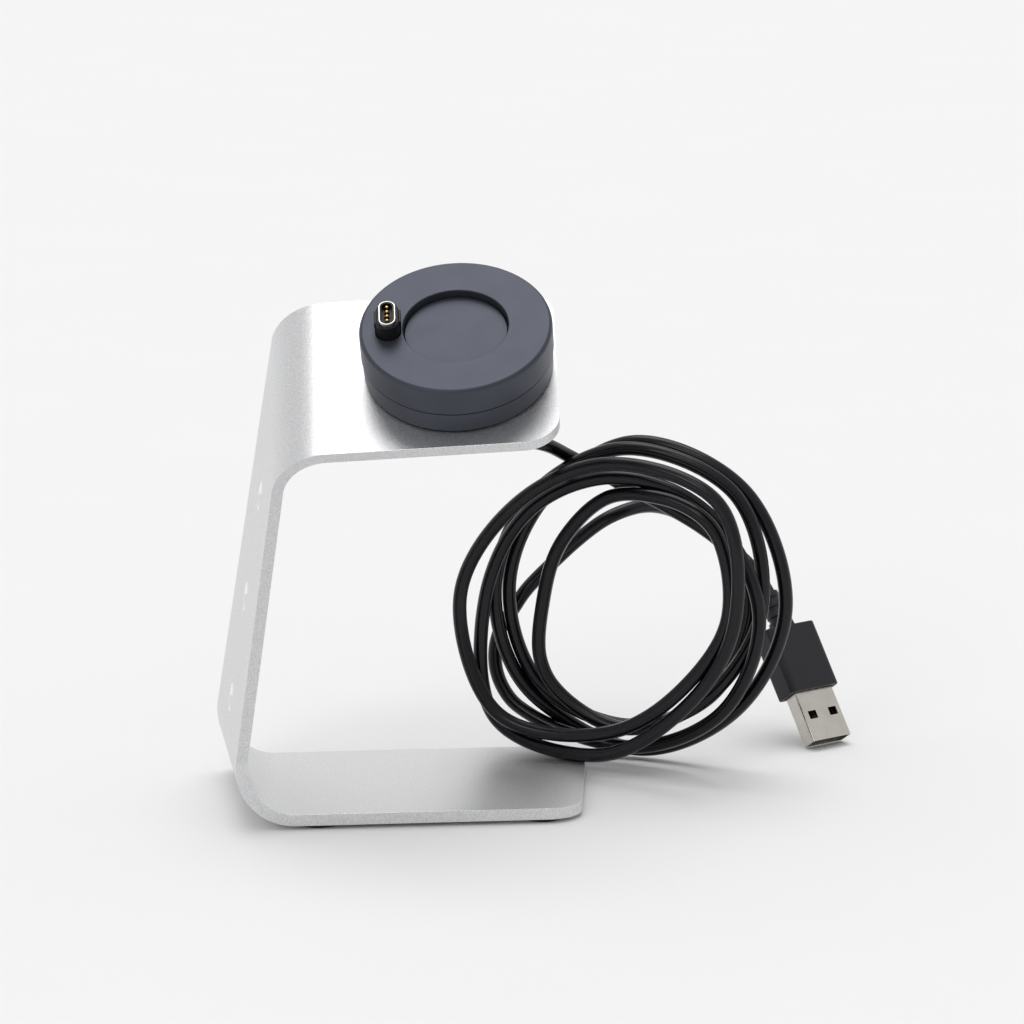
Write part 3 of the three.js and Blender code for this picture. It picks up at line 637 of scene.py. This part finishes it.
# Each turn runs clockwise from its right, as (radius, depth along the coil's axis) every 45 degrees.
TURNS = (
    ((30.5, 6), (31, 5), (32, 3.5), (32.5, 2), (30.5, 2), (31.5, 4), (37.8, 6.5), (39.4, 8)),
    ((38.4, 9), (37.4, 8.5), (39.5, 8), (36, 1), (33, -1), (33.5, 0.5), (37, 2), (38.6, 4)),
    ((34, 4), (31, 1), (31.5, -1), (28, -1), (19.9, -1), (20.6, -1.5), (27.4, -3), (33.5, -5)),
    (
        (29.4, -6),
        (26.3, -9.5),
        (30.5, -10.5),
        (39.6, -11.5),
        (38, -10.5),
        (33.5, -9.5),
        (35.3, -8.5),
        (39.4, -9),
    ),
    ((32, -9), (29.5, -8.5), (35.8, -12.5), (43.0, -7.5), (33.4, -5), (30.6, -5), (30.6, -5.5), (32, -2.5)),
    ((34.5, 0.5), (36, 2), (38, 4), (41.5, 4)),
)
OUT_OF_COIL = (
    (25.7, 42.8, 17.8),
    (24.8, 43.8, 23.2),
    (25.5, 44.1, 28.1),
    (26.9, 44.0, 31.5),
    (29.0, 43.8, 34.5),
    (32.0, 43.9, 39.2),
)
TAIL_ROUTE = (
    (40.6, 44.9, 47.6),
    (45.4, 44.7, 52.0),
    (51.8, 45.2, 56.5),
    (60.2, 48.0, 58.8),
    (67.3, 53.0, 57.2),
    (74.6, 59.2, 52.6),
    (82.9, 62.9, 46.2),
    (89.6, 60.8, 40.4),
    (93.6, 56.8, 34.5),
)
COIL_AXIS = np.array((math.sin(COIL_YAW), math.cos(COIL_YAW), 0.0))
COIL_RIGHT = np.array((math.cos(COIL_YAW), -math.sin(COIL_YAW), 0.0))
SPACING = 2.5  # between points of the settled lead


def coil_points():
    """Points every 45 degrees round the turns."""
    points = []
    for turn_index, keys in enumerate(TURNS):
        for key_index, (radius, depth) in enumerate(keys):
            angle = -math.pi / 4 * (8 * turn_index + key_index)
            points.append(COIL_CENTRE + turn(COIL_RIGHT, UP, angle) * radius + COIL_AXIS * depth)
    return points


def between(p, q, low, high, t):
    """The point that is p at low, q at high and in proportion elsewhere."""
    return (p * (high - t) + q * (t - low)) / (high - low)


def through(keys):
    """A centripetal Catmull-Rom curve through the keys."""
    steps = 12
    keys = np.asarray(keys, float)
    keys = np.vstack((2 * keys[0] - keys[1], keys, 2 * keys[-1] - keys[-2]))
    points = []
    for a, b, c, d in zip(keys, keys[1:], keys[2:], keys[3:]):
        knots = np.cumsum([0.0] + [math.sqrt(np.linalg.norm(q - p)) for p, q in ((a, b), (b, c), (c, d))])
        for t in np.linspace(knots[1], knots[2], steps, endpoint=False):
            ab = between(a, b, knots[0], knots[1], t)
            bc = between(b, c, knots[1], knots[2], t)
            cd = between(c, d, knots[2], knots[3], t)
            abc = between(ab, bc, knots[0], knots[2], t)
            bcd = between(bc, cd, knots[1], knots[3], t)
            points.append(between(abc, bcd, knots[1], knots[2], t))
    points.append(keys[-2])
    return np.array(points)


def evenly(points, spacing):
    """Points on the same path, `spacing` apart."""
    along = np.concatenate(([0.0], np.cumsum(np.linalg.norm(np.diff(points, axis=0), axis=1))))
    places = np.linspace(0.0, along[-1], round(along[-1] / spacing) + 1)
    return np.column_stack([np.interp(places, along, points[:, k]) for k in range(3)])


def eased(moves, times, hold):
    """Spreads each point's move to its neighbours. `hold` is 0 where a point stays, 1 where it is free."""
    for _ in range(times):
        inner = 0.25 * moves[:-2] + 0.5 * moves[1:-1] + 0.25 * moves[2:]
        moves = np.vstack((moves[:1], inner, moves[-1:])) * hold
    return moves


def settled(path):
    """Pushes crossing strands apart, mostly along the coil's axis, until they only touch, keeps them on
    the table or the base, and eases the bends. The two ends stay where they are."""
    clearance = 2 * LEAD_RADIUS + 0.1
    overlap_allowed = 0.04
    most_rounds = 500
    tightest_bend = 11.0
    held_end, freed_over = 20.0, 30.0  # how much of each end stays, and how soon the rest is free
    same_stretch = 12.0  # points nearer than this along the lead never count as crossing
    reach = 8.0
    past_base = 1.0
    on_table = LEAD_RADIUS
    on_base = BASE_UNDER_Z + SHEET + LEAD_RADIUS
    count = len(path)
    along = np.arange(count) * SPACING
    from_end = np.minimum(along, along[-1] - along)
    hold = np.clip((from_end - held_end) / freed_over, 0, 1)[:, None]
    apart = np.triu(np.abs(along[:, None] - along[None]) > same_stretch)
    near = np.linalg.norm(path[:, None] - path[None], axis=2) < reach
    first, second = np.nonzero(apart & near)
    start, points = path.copy(), path.copy()
    for _ in range(most_rounds):
        offset = points[first] - points[second]
        distance = np.linalg.norm(offset, axis=1) + 1e-9
        overlap = np.clip(clearance - distance, 0, None)
        if overlap.max() < overlap_allowed:
            break
        axial = offset @ COIL_AXIS
        side = offset - axial[:, None] * COIL_AXIS
        way = np.where(axial >= 0, 0.5, -0.5)[:, None] * COIL_AXIS
        push = overlap[:, None] * (way + 0.35 * side / distance[:, None])
        moves = np.zeros_like(points)
        touching = np.zeros(count)
        for index, sign in ((first, 1.0), (second, -1.0)):
            np.add.at(moves, index, sign * push)
            np.add.at(touching, index, overlap > 0)
        moves /= np.sqrt(np.maximum(touching, 1))[:, None]
        points = points + 0.6 * eased(moves, 3, hold)
        base_end = BASE_RIGHT_X + past_base + math.tan(BASE_END_SKEW) * (points[:, 1] - BASE_FRONT_Y)
        base_back = BASE_FRONT_Y + BASE_DEPTH + past_base
        over_base = (points[:, 0] < base_end) & (points[:, 1] < base_back)
        lift = np.zeros_like(points)
        lift[:, 2] = np.clip(np.where(over_base, on_base, on_table) - points[:, 2], 0, None)
        points = points + eased(lift, 4, hold) + 0.4 * lift
        shift = points - start
        points = start + 0.5 * shift + 0.5 * eased(shift, 1, 1.0)
        sag = (points[:-2] + points[2:]) / 2 - points[1:-1]
        tight = np.linalg.norm(sag, axis=1) > SPACING**2 / (2 * tightest_bend)
        ease = np.zeros_like(points)
        ease[1:-1][tight] = 0.5 * sag[tight]
        ease[:4] = 0
        ease[-4:] = 0
        points, start = points + ease, start + ease
    return points


def on_axis(place, height):
    return np.array(place @ Vector((0, 0, height)))


def make_lead():
    """The lead as one curve. Returns it with its length and the point where it leaves the puck's boot."""
    keys = (*LEAD_ROUTE, *INTO_COIL, *coil_points(), *OUT_OF_COIL, *TAIL_ROUTE)
    path = settled(evenly(through(keys), SPACING))
    boot_tip = on_axis(PUCK, BOOT_BOTTOM)
    inside_boot = on_axis(PUCK, BOOT_BOTTOM + INTO_BOOT)
    plug_boot_tip = on_axis(PLUG, PLUG_END)
    inside_plug = on_axis(PLUG, PLUG_END - INTO_BOOT)
    path = np.vstack((inside_boot, boot_tip, path[1:-1], plug_boot_tip, inside_plug))
    curve = bpy.data.curves.new("lead", "CURVE")
    curve.dimensions = "3D"
    curve.bevel_depth = LEAD_RADIUS * MM
    curve.bevel_resolution = 6
    curve.resolution_u = 3
    curve.use_fill_caps = True
    spline = curve.splines.new("NURBS")
    spline.points.add(len(path) - 1)
    spline.points.foreach_set("co", np.column_stack((path * MM, np.ones(len(path)))).ravel())
    spline.order_u = 4
    spline.use_endpoint_u = True
    lead = linked("lead", curve)
    lead.data.materials.append(JACKET)
    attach(lead, "stand")
    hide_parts("lead_free", "lead_coil", "lead_tail")
    length = np.linalg.norm(np.diff(path, axis=0), axis=1).sum() * MM
    return lead, length, boot_tip * MM


lead, lead_length, lead_exit = make_lead()

# ------------------------------------------------------------------ plug


def make_plug():
    """The overmoulded grip, its tapered relief, and the metal sleeve with its two windows."""
    grip_end = PLUG_EXPOSED + GRIP_LENGTH
    name = "plug_grip_moulding"
    grip = loft(name, box_layers(*GRIP, PLUG_EXPOSED, grip_end, GRIP_EDGE), PLUG)
    opening = rounded_rectangle(SLEEVE[0] + 2 * GAP, SLEEVE[1] + 2 * GAP, 0.7)
    pocket = straight("grip_pocket", opening, PLUG_EXPOSED - 1, SLEEVE_LENGTH + GAP, PLUG)
    grip = show(name, carved(grip, [pocket]), [PLUG_PLASTIC], ["plug_grip"])

    profile = relief_profile(grip_end + GAP, RELIEF_LENGTH - GAP, *RELIEF_RADII, RELIEF_RIBS)
    relief = lathe("plug_relief", profile, PLUG, 64, False)
    relief = show("plug_relief", relief, [PLUG_PLASTIC], ["plug_boot"])

    def sleeve_at(margin, radius):
        return rounded_rectangle(SLEEVE[0] + 2 * margin, SLEEVE[1] + 2 * margin, radius)

    mouth = 0.1
    sleeve = loft(
        "plug_sleeve",
        [
            (sleeve_at(-mouth, 0.45), 0.0),
            (sleeve_at(0, 0.55), mouth),
            (sleeve_at(0, 0.55), SLEEVE_LENGTH),
            (sleeve_at(-SLEEVE_WALL, 0.25), SLEEVE_LENGTH),
            (sleeve_at(-SLEEVE_WALL, 0.25), mouth),
            (sleeve_at(-SLEEVE_WALL + 0.04, 0.28), 0.0),
        ],
        PLUG,
        ring=True,
    )
    windows = []
    for side in (-1, 1):
        window = rounded_rectangle(WINDOW_WIDTH, 3 * SLEEVE[1], 0.15, 4)
        window = [(x + side * WINDOW_X, y) for x, y in window]
        windows.append(straight(f"window_{side}", window, *WINDOW_ENDS, PLUG))
    sleeve = show("plug_sleeve", carved(sleeve, windows), [NICKEL], ["plug_shell"])
    return [grip, relief, sleeve]


def relief_profile(start, length, wide, narrow, ribs):
    """Half outline of a tapered strain relief with rounded grooves, from its wide end on."""
    groove_depth = 0.38
    ribbed_from, ribbed_share = 0.12, 0.8
    bore = LEAD_RADIUS - 0.4
    end = start + length
    bore_end = end - math.copysign(2.5, length)

    profile = [(0, start), (wide, start, 0.3)]
    for rib in range(ribs):
        for offset, groove in ((0.26, 0.0), (0.36, groove_depth), (0.64, groove_depth), (0.74, 0.0)):
            share = ribbed_from + ribbed_share * (rib + offset) / ribs
            radius = wide + (narrow - wide) * share
            profile.append((radius - groove, start + length * share, 0.1))
    profile.extend([(narrow, end, 0.15), (bore, end), (bore, bore_end), (0, bore_end)])
    return profile


plug_pieces = make_plug()

# ------------------------------------------------------------------ bracket


def round_corner(corner, first, second, steps):
    """Points of a round corner, from the edge towards `second` to the edge towards `first`."""
    half = math.acos(np.clip(first @ second, -1, 1)) / 2
    bisector = unit(first + second)
    centre = corner + bisector * CORNER_RADIUS / math.sin(half)
    inward = -bisector
    sideways = unit(second - inward * (second @ inward))
    sweep = math.pi / 2 - half
    angles = [sweep * (1 - 2 * i / steps) for i in range(steps + 1)]
    return [centre + turn(inward, sideways, angle) * CORNER_RADIUS for angle in angles]


def free_end(front, back, inward, normal):
    """Rulings over a flat end of the sheet with its two round corners, from its edge on."""
    steps = 20
    across = unit(back - front)
    fronts = round_corner(front, inward, across, steps)
    backs = round_corner(back, inward, -across, steps)
    return [(f, b, normal) for f, b in zip(fronts, backs)]


def bend(centre, line, depth, radius, first, second, start, end):
    """Rulings round a bend of the sheet, as (front point, back point, normal)."""
    steps = 40
    rulings = []
    for i in range(steps + 1):
        normal = turn(first, second, start + (end - start) * i / steps)
        front = centre + normal * radius
        rulings.append((front, front + line * depth, normal))
    return rulings


def make_bracket():
    """The bent sheet, with its holes and its bright chamfers."""
    skew = BASE_DEPTH * math.tan(BASE_END_SKEW)
    corner = np.array((BASE_RIGHT_X, BASE_FRONT_Y, BASE_UNDER_Z))
    back_corner = corner + np.array((skew, BASE_DEPTH, 0.0))
    depth = BASE_DEPTH / math.cos(LOWER_BEND_YAW)
    end = PLATE_START + PLATE_ALONG * PLATE_LENGTH
    lower = (LOWER_CENTRE, LOWER_LINE, depth, LOWER_BEND_RADIUS)
    upper = (UPPER_CENTRE, UPPER_LINE, PLATE_DEPTH, UPPER_BEND_RADIUS)
    rulings = [
        *free_end(corner, back_corner, np.array((-1.0, 0.0, 0.0)), -UP),
        *bend(*lower, -ACROSS_BEND, -UP, math.pi / 2, -WALL_LEAN),
        *bend(*upper, WALL_OUT, OVER_BEND, 0, UPPER_BEND_TURN),
        *free_end(end, end + UPPER_LINE * PLATE_DEPTH, -PLATE_ALONG, PLATE_OUT)[::-1],
    ]
    points = []
    for front, back, normal in rulings:
        points.extend((front, back, back - normal * SHEET, front - normal * SHEET))
    faces = []
    for i in range(len(rulings) - 1):
        for side in range(4):
            after = (side + 1) % 4
            faces.append((4 * i + side, 4 * i + after, 4 * i + 4 + after, 4 * i + 4 + side))
    last = 4 * (len(rulings) - 1)
    faces.append((0, 1, 2, 3))
    faces.append((last, last + 1, last + 2, last + 3))
    sheet = mesh_of("bracket", points, faces)
    drills = [drill("plate_drill", PUCK_SEAT, PLATE_OUT, PLATE_HOLE_RADIUS, EDGE_CHAMFER)]
    for height in WALL_HOLE_HEIGHTS:
        point = WALL_BOTTOM + WALL_UP * height + LOWER_LINE * WALL_HOLE_DEPTH
        drills.append(drill(f"wall_drill_{height}", point, WALL_OUT, WALL_HOLE_RADIUS, COUNTERSINK))
    sheet = carved(sheet, drills, 20.0, EDGE_CHAMFER)
    show("bracket", sheet, [BRACKET_METAL, BRACKET_EDGE], ["stand_bracket"])


def drill(name, point, normal, radius, sink):
    """A drill that leaves a hole with a bright countersink of width `sink`."""
    side = unit(np.cross(normal, LOWER_LINE))
    place = placing(side, np.cross(normal, side), normal, point)
    end = -2 * SHEET
    profile = [(0, end), (radius, end), (radius, -sink), (radius + 2 * sink, sink), (0, sink)]
    mesh = lathe(name, profile, place, 64, False)
    two_slots(mesh)
    mesh.polygons.foreach_set("material_index", np.ones(len(mesh.polygons), dtype=np.int32))
    return mesh


make_bracket()


def make_feet():
    """Four rubber discs, each with a fine groove round its underside."""
    profile = [
        (0, 0),
        (FOOT_RADIUS - 1.0, 0),
        (FOOT_RADIUS - 0.75, 0.12),
        (FOOT_RADIUS - 0.5, 0),
        (FOOT_RADIUS, 0, 0.25),
        (FOOT_RADIUS, FOOT_HEIGHT, 0.15),
        (0, FOOT_HEIGHT),
    ]
    for x, side in zip(FOOT_XS, ("left", "right")):
        for y, end in zip(FOOT_YS, ("front", "back")):
            place = Matrix.Translation((x, y, 0))
            name = f"foot_pad_{end}_{side}"
            foot = lathe(name, profile, place, 96, False)
            show(name, foot, [RUBBER], [f"foot_{end}_{side}"])


make_feet()

# ------------------------------------------------------------------ puck


def make_puck():
    """The puck's two shells and the floor of its recess."""
    inner = PUCK_RADIUS - SHELL_WALL
    above_parting = PARTING_HEIGHT + GAP / 2
    below_parting = PARTING_HEIGHT - GAP / 2
    upper = lathe(
        "puck_top_shell",
        [
            (LEDGE_RADIUS, WELL_BOTTOM),
            (RECESS_RADIUS + WELL_WALL, WELL_BOTTOM),
            (RECESS_RADIUS + WELL_WALL, CEILING, 0.4),
            (inner, CEILING, 0.6),
            (inner, above_parting),
            (PUCK_RADIUS, above_parting, 0.12),
            (PUCK_RADIUS, PUCK_HEIGHT, PUCK_EDGE_ROUND),
            (RECESS_RADIUS, PUCK_HEIGHT, 0.25),
            (RECESS_RADIUS, LEDGE_TOP),
            (LEDGE_RADIUS, LEDGE_TOP),
        ],
        PUCK,
        192,
        steps=8,
    )
    opening = rounded_rectangle(HOUSING[0] + 2 * GAP, HOUSING[1] + 2 * GAP, HOUSING[2] + GAP)
    upper = carved(upper, [straight("slot", opening, CEILING - 2, PUCK_HEIGHT + 1, CONNECTOR)])
    show("puck_top_shell", upper, [PUCK_PLASTIC], ["puck_upper_shell"])

    edge, underside = RECESS_RADIUS - GAP, RECESS_FLOOR - INSERT_THICKNESS
    profile = [(0, underside), (edge, underside), (edge, RECESS_FLOOR, 0.22), (0, RECESS_FLOOR)]
    disc = lathe("recess_disc", profile, PUCK, 192, False)
    show("recess_disc", disc, [PUCK_PLASTIC], ["recess_insert"])

    skirt = LOWER_SHELL_RADIUS - SKIRT_WIDTH
    lower = lathe(
        "puck_bottom_shell",
        [
            (STUB_BORE, STUB_END),
            (STUB_RADIUS, STUB_END, 0.3),
            (STUB_RADIUS, SKIRT_TOP),
            (skirt, SKIRT_TOP),
            (skirt, GAP),
            (LOWER_SHELL_RADIUS, GAP, 0.4),
            (PUCK_RADIUS - PARTING_STEP, below_parting, 0.06),
            (inner, below_parting),
            (inner, SHELL_FLOOR, 0.6),
            (STUB_BORE, SHELL_FLOOR),
        ],
        PUCK,
        192,
    )
    show("puck_bottom_shell", lower, [PUCK_PLASTIC], ["puck_lower_shell"])


make_puck()


def pin_place(number):
    return CONNECTOR @ Matrix.Translation((0, (number - 2.5) * PIN_PITCH, 0))


def rim_at(margin):
    """The rim's outline, let out by `margin`."""
    width, depth = RIM_SIZE
    return rounded_rectangle(width + 2 * margin, depth + 2 * margin, width / 2 + margin)


def make_connector():
    """The connector's housing with its two catches, its metal rim and the contacts' carrier."""
    body = box_layers(*HOUSING, CONNECTOR_BOTTOM, HOUSING_TOP, HOUSING_EDGE)
    housing = loft("connector_body", body, CONNECTOR)
    cuts = [straight("well", rim_at(0.1), CONNECTOR_BOTTOM - 1, HOUSING_TOP + 1, CONNECTOR)]
    for side in (-1, 1):
        pocket = [(x + side * HOUSING[0] / 2, y + TAB_Y) for x, y in rounded_rectangle(*POCKET)]
        cuts.append(straight(f"pocket_{side}", pocket, *POCKET_ENDS, CONNECTOR))
    housing = carved(housing, cuts)
    show("connector_body", housing, [CONNECTOR_PLASTIC], ["connector_housing"])

    for side, name in ((-1, "left"), (1, "right")):
        place = CONNECTOR @ Matrix.Translation((side * (HOUSING[0] / 2 + TAB_PROUD), TAB_Y, 0))
        tab = loft(f"catch_{name}", box_layers(*TAB, *TAB_ENDS, 0.15), place)
        show(f"catch_{name}", tab, [CONNECTOR_PLASTIC], [f"side_tab_{name}"])

    slight = 0.3 * RIM_ROLL
    rim = loft(
        "connector_ring",
        [
            (rim_at(0), RIM_BOTTOM),
            (rim_at(0), RIM_TOP - RIM_ROLL),
            (rim_at(-slight), RIM_TOP - slight),
            (rim_at(-RIM_ROLL), RIM_TOP),
            (rim_at(RIM_ROLL - RIM_WALL), RIM_TOP),
            (rim_at(slight - RIM_WALL), RIM_TOP - slight),
            (rim_at(-RIM_WALL), RIM_TOP - RIM_ROLL),
            (rim_at(-RIM_WALL), RIM_BOTTOM),
        ],
        CONNECTOR,
        ring=True,
    )
    show("connector_ring", rim, [RIM_STEEL], ["connector_rim"])

    outer, inner = rim_at(-RIM_WALL - 0.05), rim_at(-RIM_WALL - 0.35)
    carrier = loft(
        "contact_carrier",
        [
            (outer, CARRIER_BOTTOM),
            (outer, CARRIER_LIP_TOP),
            (inner, CARRIER_LIP_TOP),
            (inner, PIN_BLOCK_TOP),
        ],
        CONNECTOR,
    )
    radius = BARREL_RADIUS + 0.03
    profile = [(0, CONNECTOR_BOTTOM), (radius, CONNECTOR_BOTTOM), (radius, RIM_TOP), (0, RIM_TOP)]
    holes = [lathe(f"carrier_hole_{i}", profile, pin_place(i), 40, False) for i in PIN_NUMBERS]
    carrier = carved(carrier, holes)
    show("contact_carrier", carrier, [CONNECTOR_PLASTIC], ["pin_block"])


make_connector()


def helix_spring(name, place):
    """The spring under a plunger's collar, as a closed wire."""
    sides, steps_per_turn = 8, 24
    low = SPRING_BOTTOM + SPRING_WIRE
    rise = COLLAR_BOTTOM - 2 * SPRING_WIRE - GAP / 6 - SPRING_BOTTOM
    coil = BARREL_BORE - 2 * SPRING_WIRE
    count = SPRING_TURNS * steps_per_turn
    points = []
    for step in range(count + 1):
        angle = 2 * math.pi * step / steps_per_turn
        for side in range(sides):
            around = 2 * math.pi * side / sides
            radius = coil + SPRING_WIRE * math.cos(around)
            height = low + rise * step / count + SPRING_WIRE * math.sin(around)
            points.append((radius * math.cos(angle), radius * math.sin(angle), height))
    faces = [tuple(range(sides)), tuple(count * sides + side for side in range(sides))]
    for step in range(count):
        for side in range(sides):
            here, after = step * sides + side, step * sides + (side + 1) % sides
            faces.append((here, after, after + sides, here + sides))
    return mesh_of(name, points, faces, place, 60.0)


def make_pins():
    """Sprung contacts: a barrel each, fixed, a plunger that slides in it, and the spring below."""
    throat = PIN_RADIUS + 0.04
    collar_top = BARREL_TOP - 0.35
    lip_bottom = BARREL_TOP - BARREL_LIP
    plunger_profile = [
        (0, COLLAR_BOTTOM),
        (PIN_COLLAR_RADIUS, COLLAR_BOTTOM, 0.05),
        (PIN_COLLAR_RADIUS, collar_top, 0.05),
        (PIN_RADIUS, collar_top),
        (PIN_RADIUS, PIN_TIP, PIN_TIP_ROUND),
        (0, PIN_TIP),
    ]
    barrel_profile = [
        (0, CONNECTOR_BOTTOM),
        (BARREL_RADIUS, CONNECTOR_BOTTOM, 0.08),
        (BARREL_RADIUS, BARREL_TOP, 0.12),
        (throat, BARREL_TOP, 0.05),
        (throat, lip_bottom),
        (BARREL_BORE, lip_bottom),
        (BARREL_BORE, BARREL_FLOOR),
        (0, BARREL_FLOOR),
    ]
    for number in PIN_NUMBERS:
        place = pin_place(number)
        name = f"plunger_{number}"
        plunger = lathe(name, plunger_profile, place, 40, False)
        show(name, plunger, [GOLD], [f"spring_pin_{number}"], f"pin_{number}")

        name = f"barrel_{number}"
        barrel = lathe(name, barrel_profile, place, 40, False)
        show(name, barrel, [GOLD], [f"pin_barrel_{number}"])

        name = f"contact_spring_{number}"
        spring = helix_spring(name, place)
        spring = show(name, spring, [STEEL], [f"pin_spring_{number}"])
        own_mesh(spring)


make_pins()


def make_nut_and_boot():
    """Under the plate: the hexagonal nut on the puck's stub, and the lead's strain relief."""
    count = 48
    angles = [2 * math.pi * k / count for k in range(count)]

    def hexagon(shrink):
        points = []
        for angle in angles:
            within = (angle + math.pi / 6) % (math.pi / 3) - math.pi / 6
            to_flat = NUT_FLATS / 2 / math.cos(within - math.copysign(math.pi / 6, within))
            radius = min(to_flat, NUT_CORNER_RADIUS) - shrink
            points.append((radius * math.cos(angle), radius * math.sin(angle)))
        return points

    def circle(radius):
        return [(radius * math.cos(angle), radius * math.sin(angle)) for angle in angles]

    bottom, top = STUB_END + 0.4, -SHEET - GAP
    bore = STUB_RADIUS + GAP
    nut = loft(
        "stub_nut",
        [
            (circle(NUT_FACE_RADIUS), bottom),
            (hexagon(0.0), bottom + 0.5),
            (hexagon(0.0), top - 0.3),
            (hexagon(0.35), top),
            (circle(bore + 0.2), top),
            (circle(bore), top - 0.2),
            (circle(bore), bottom + 0.2),
            (circle(bore + 0.2), bottom),
        ],
        PUCK,
        ring=True,
    )
    show("stub_nut", nut, [CONNECTOR_PLASTIC], ["gland_nut"])
    profile = relief_profile(BOOT_TOP, -BOOT_LENGTH, *BOOT_RADII, BOOT_RIBS)
    boot = lathe("lead_relief", profile, PUCK, 64, False)
    show("lead_relief", boot, [PLUG_PLASTIC], ["lead_boot"])


make_nut_and_boot()

# ------------------------------------------------------------------ finishes of the CAD nodes that stay

KEPT_FINISHES = {
    "adhesive_ring": TAPE,
    "shell_screw_1": STEEL,
    "shell_screw_2": STEEL,
    "shell_screw_3": STEEL,
    "circuit_board": BOARD,
    "lead_inside": JACKET,
    "plug_tongue": PLUG_PLASTIC,
    "plug_contact_1": GOLD,
    "plug_contact_2": GOLD,
    "plug_contact_3": GOLD,
    "plug_contact_4": GOLD,
}
for node, finish in KEPT_FINISHES.items():
    if not NODES[node].material_slots:
        NODES[node].data.materials.append(finish)
    for slot in NODES[node].material_slots:
        slot.material = finish

# ------------------------------------------------------------------ floor and light

HORIZON_FRONT = (0.55, 0.55, 0.55)
HORIZON_BACK = (0.97, 0.97, 0.97)
ZENITH = (0.68, 0.68, 0.683)
# Name, direction to the light, strength, and width in degrees.
SUNS = (
    ("overhead_light", (0.0, 0.30, 1.0), 0.95, 40),
    ("front_light", (-0.12, -0.5, 0.85), 0.14, 12),
    ("left_light", (-0.5, -0.7, 0.5), 0.2, 16),
)


def make_floor():
    """A pale paper floor, with a slight cloudiness."""
    reach = 9.0
    corners = [(-reach, -reach, 0), (reach, -reach, 0), (reach, reach, 0), (-reach, reach, 0)]
    mesh = bpy.data.meshes.new("floor")
    mesh.from_pydata(corners, [], [(0, 1, 2, 3)])
    floor = linked("floor", mesh)
    material, tree, shader = new_finish("floor_paper", (0.86, 0.86, 0.86), 0.75, Specular_IOR_Level=0.2)
    cloud = noise(tree, 60.0, 3.0)
    tone = blend_colours(tree, cloud, (0.855, 0.855, 0.855), (0.87, 0.87, 0.87))
    tree.links.new(tone, shader.inputs["Base Color"])
    mesh.materials.append(material)


def make_light():
    """A surround that is bright behind the object and darker in front, and the soft lights."""
    world = bpy.data.worlds.new("world")
    bpy.context.scene.world = world
    world.use_nodes = True
    tree = world.node_tree
    direction = tree.nodes.new("ShaderNodeTexCoord")
    parts = tree.nodes.new("ShaderNodeSeparateXYZ")
    tree.links.new(direction.outputs["Generated"], parts.inputs["Vector"])
    behind = spread(tree, parts.outputs["Y"], 0.0, 1.0, -0.9, 0.9)
    horizon = blend_colours(tree, behind, HORIZON_FRONT, HORIZON_BACK)
    above = spread(tree, parts.outputs["Z"], 0.0, 1.0, 0.0, 0.95)
    surround = blend_colours(tree, above, horizon, ZENITH)
    tree.links.new(surround, tree.nodes["Background"].inputs["Color"])
    for name, towards, strength, width in SUNS:
        add_sun(name, towards, strength, width)
    bpy.context.scene.view_settings.view_transform = "Standard"


def add_sun(name, towards, strength, width):
    """A broad soft light, like a large panel, from the direction `towards`."""
    data = bpy.data.lights.new(name, "SUN")
    data.energy = strength
    data.angle = math.radians(width)
    light = linked(name, data)
    light.rotation_euler = Vector(towards).to_track_quat("Z", "Y").to_euler()


make_floor()
make_light()
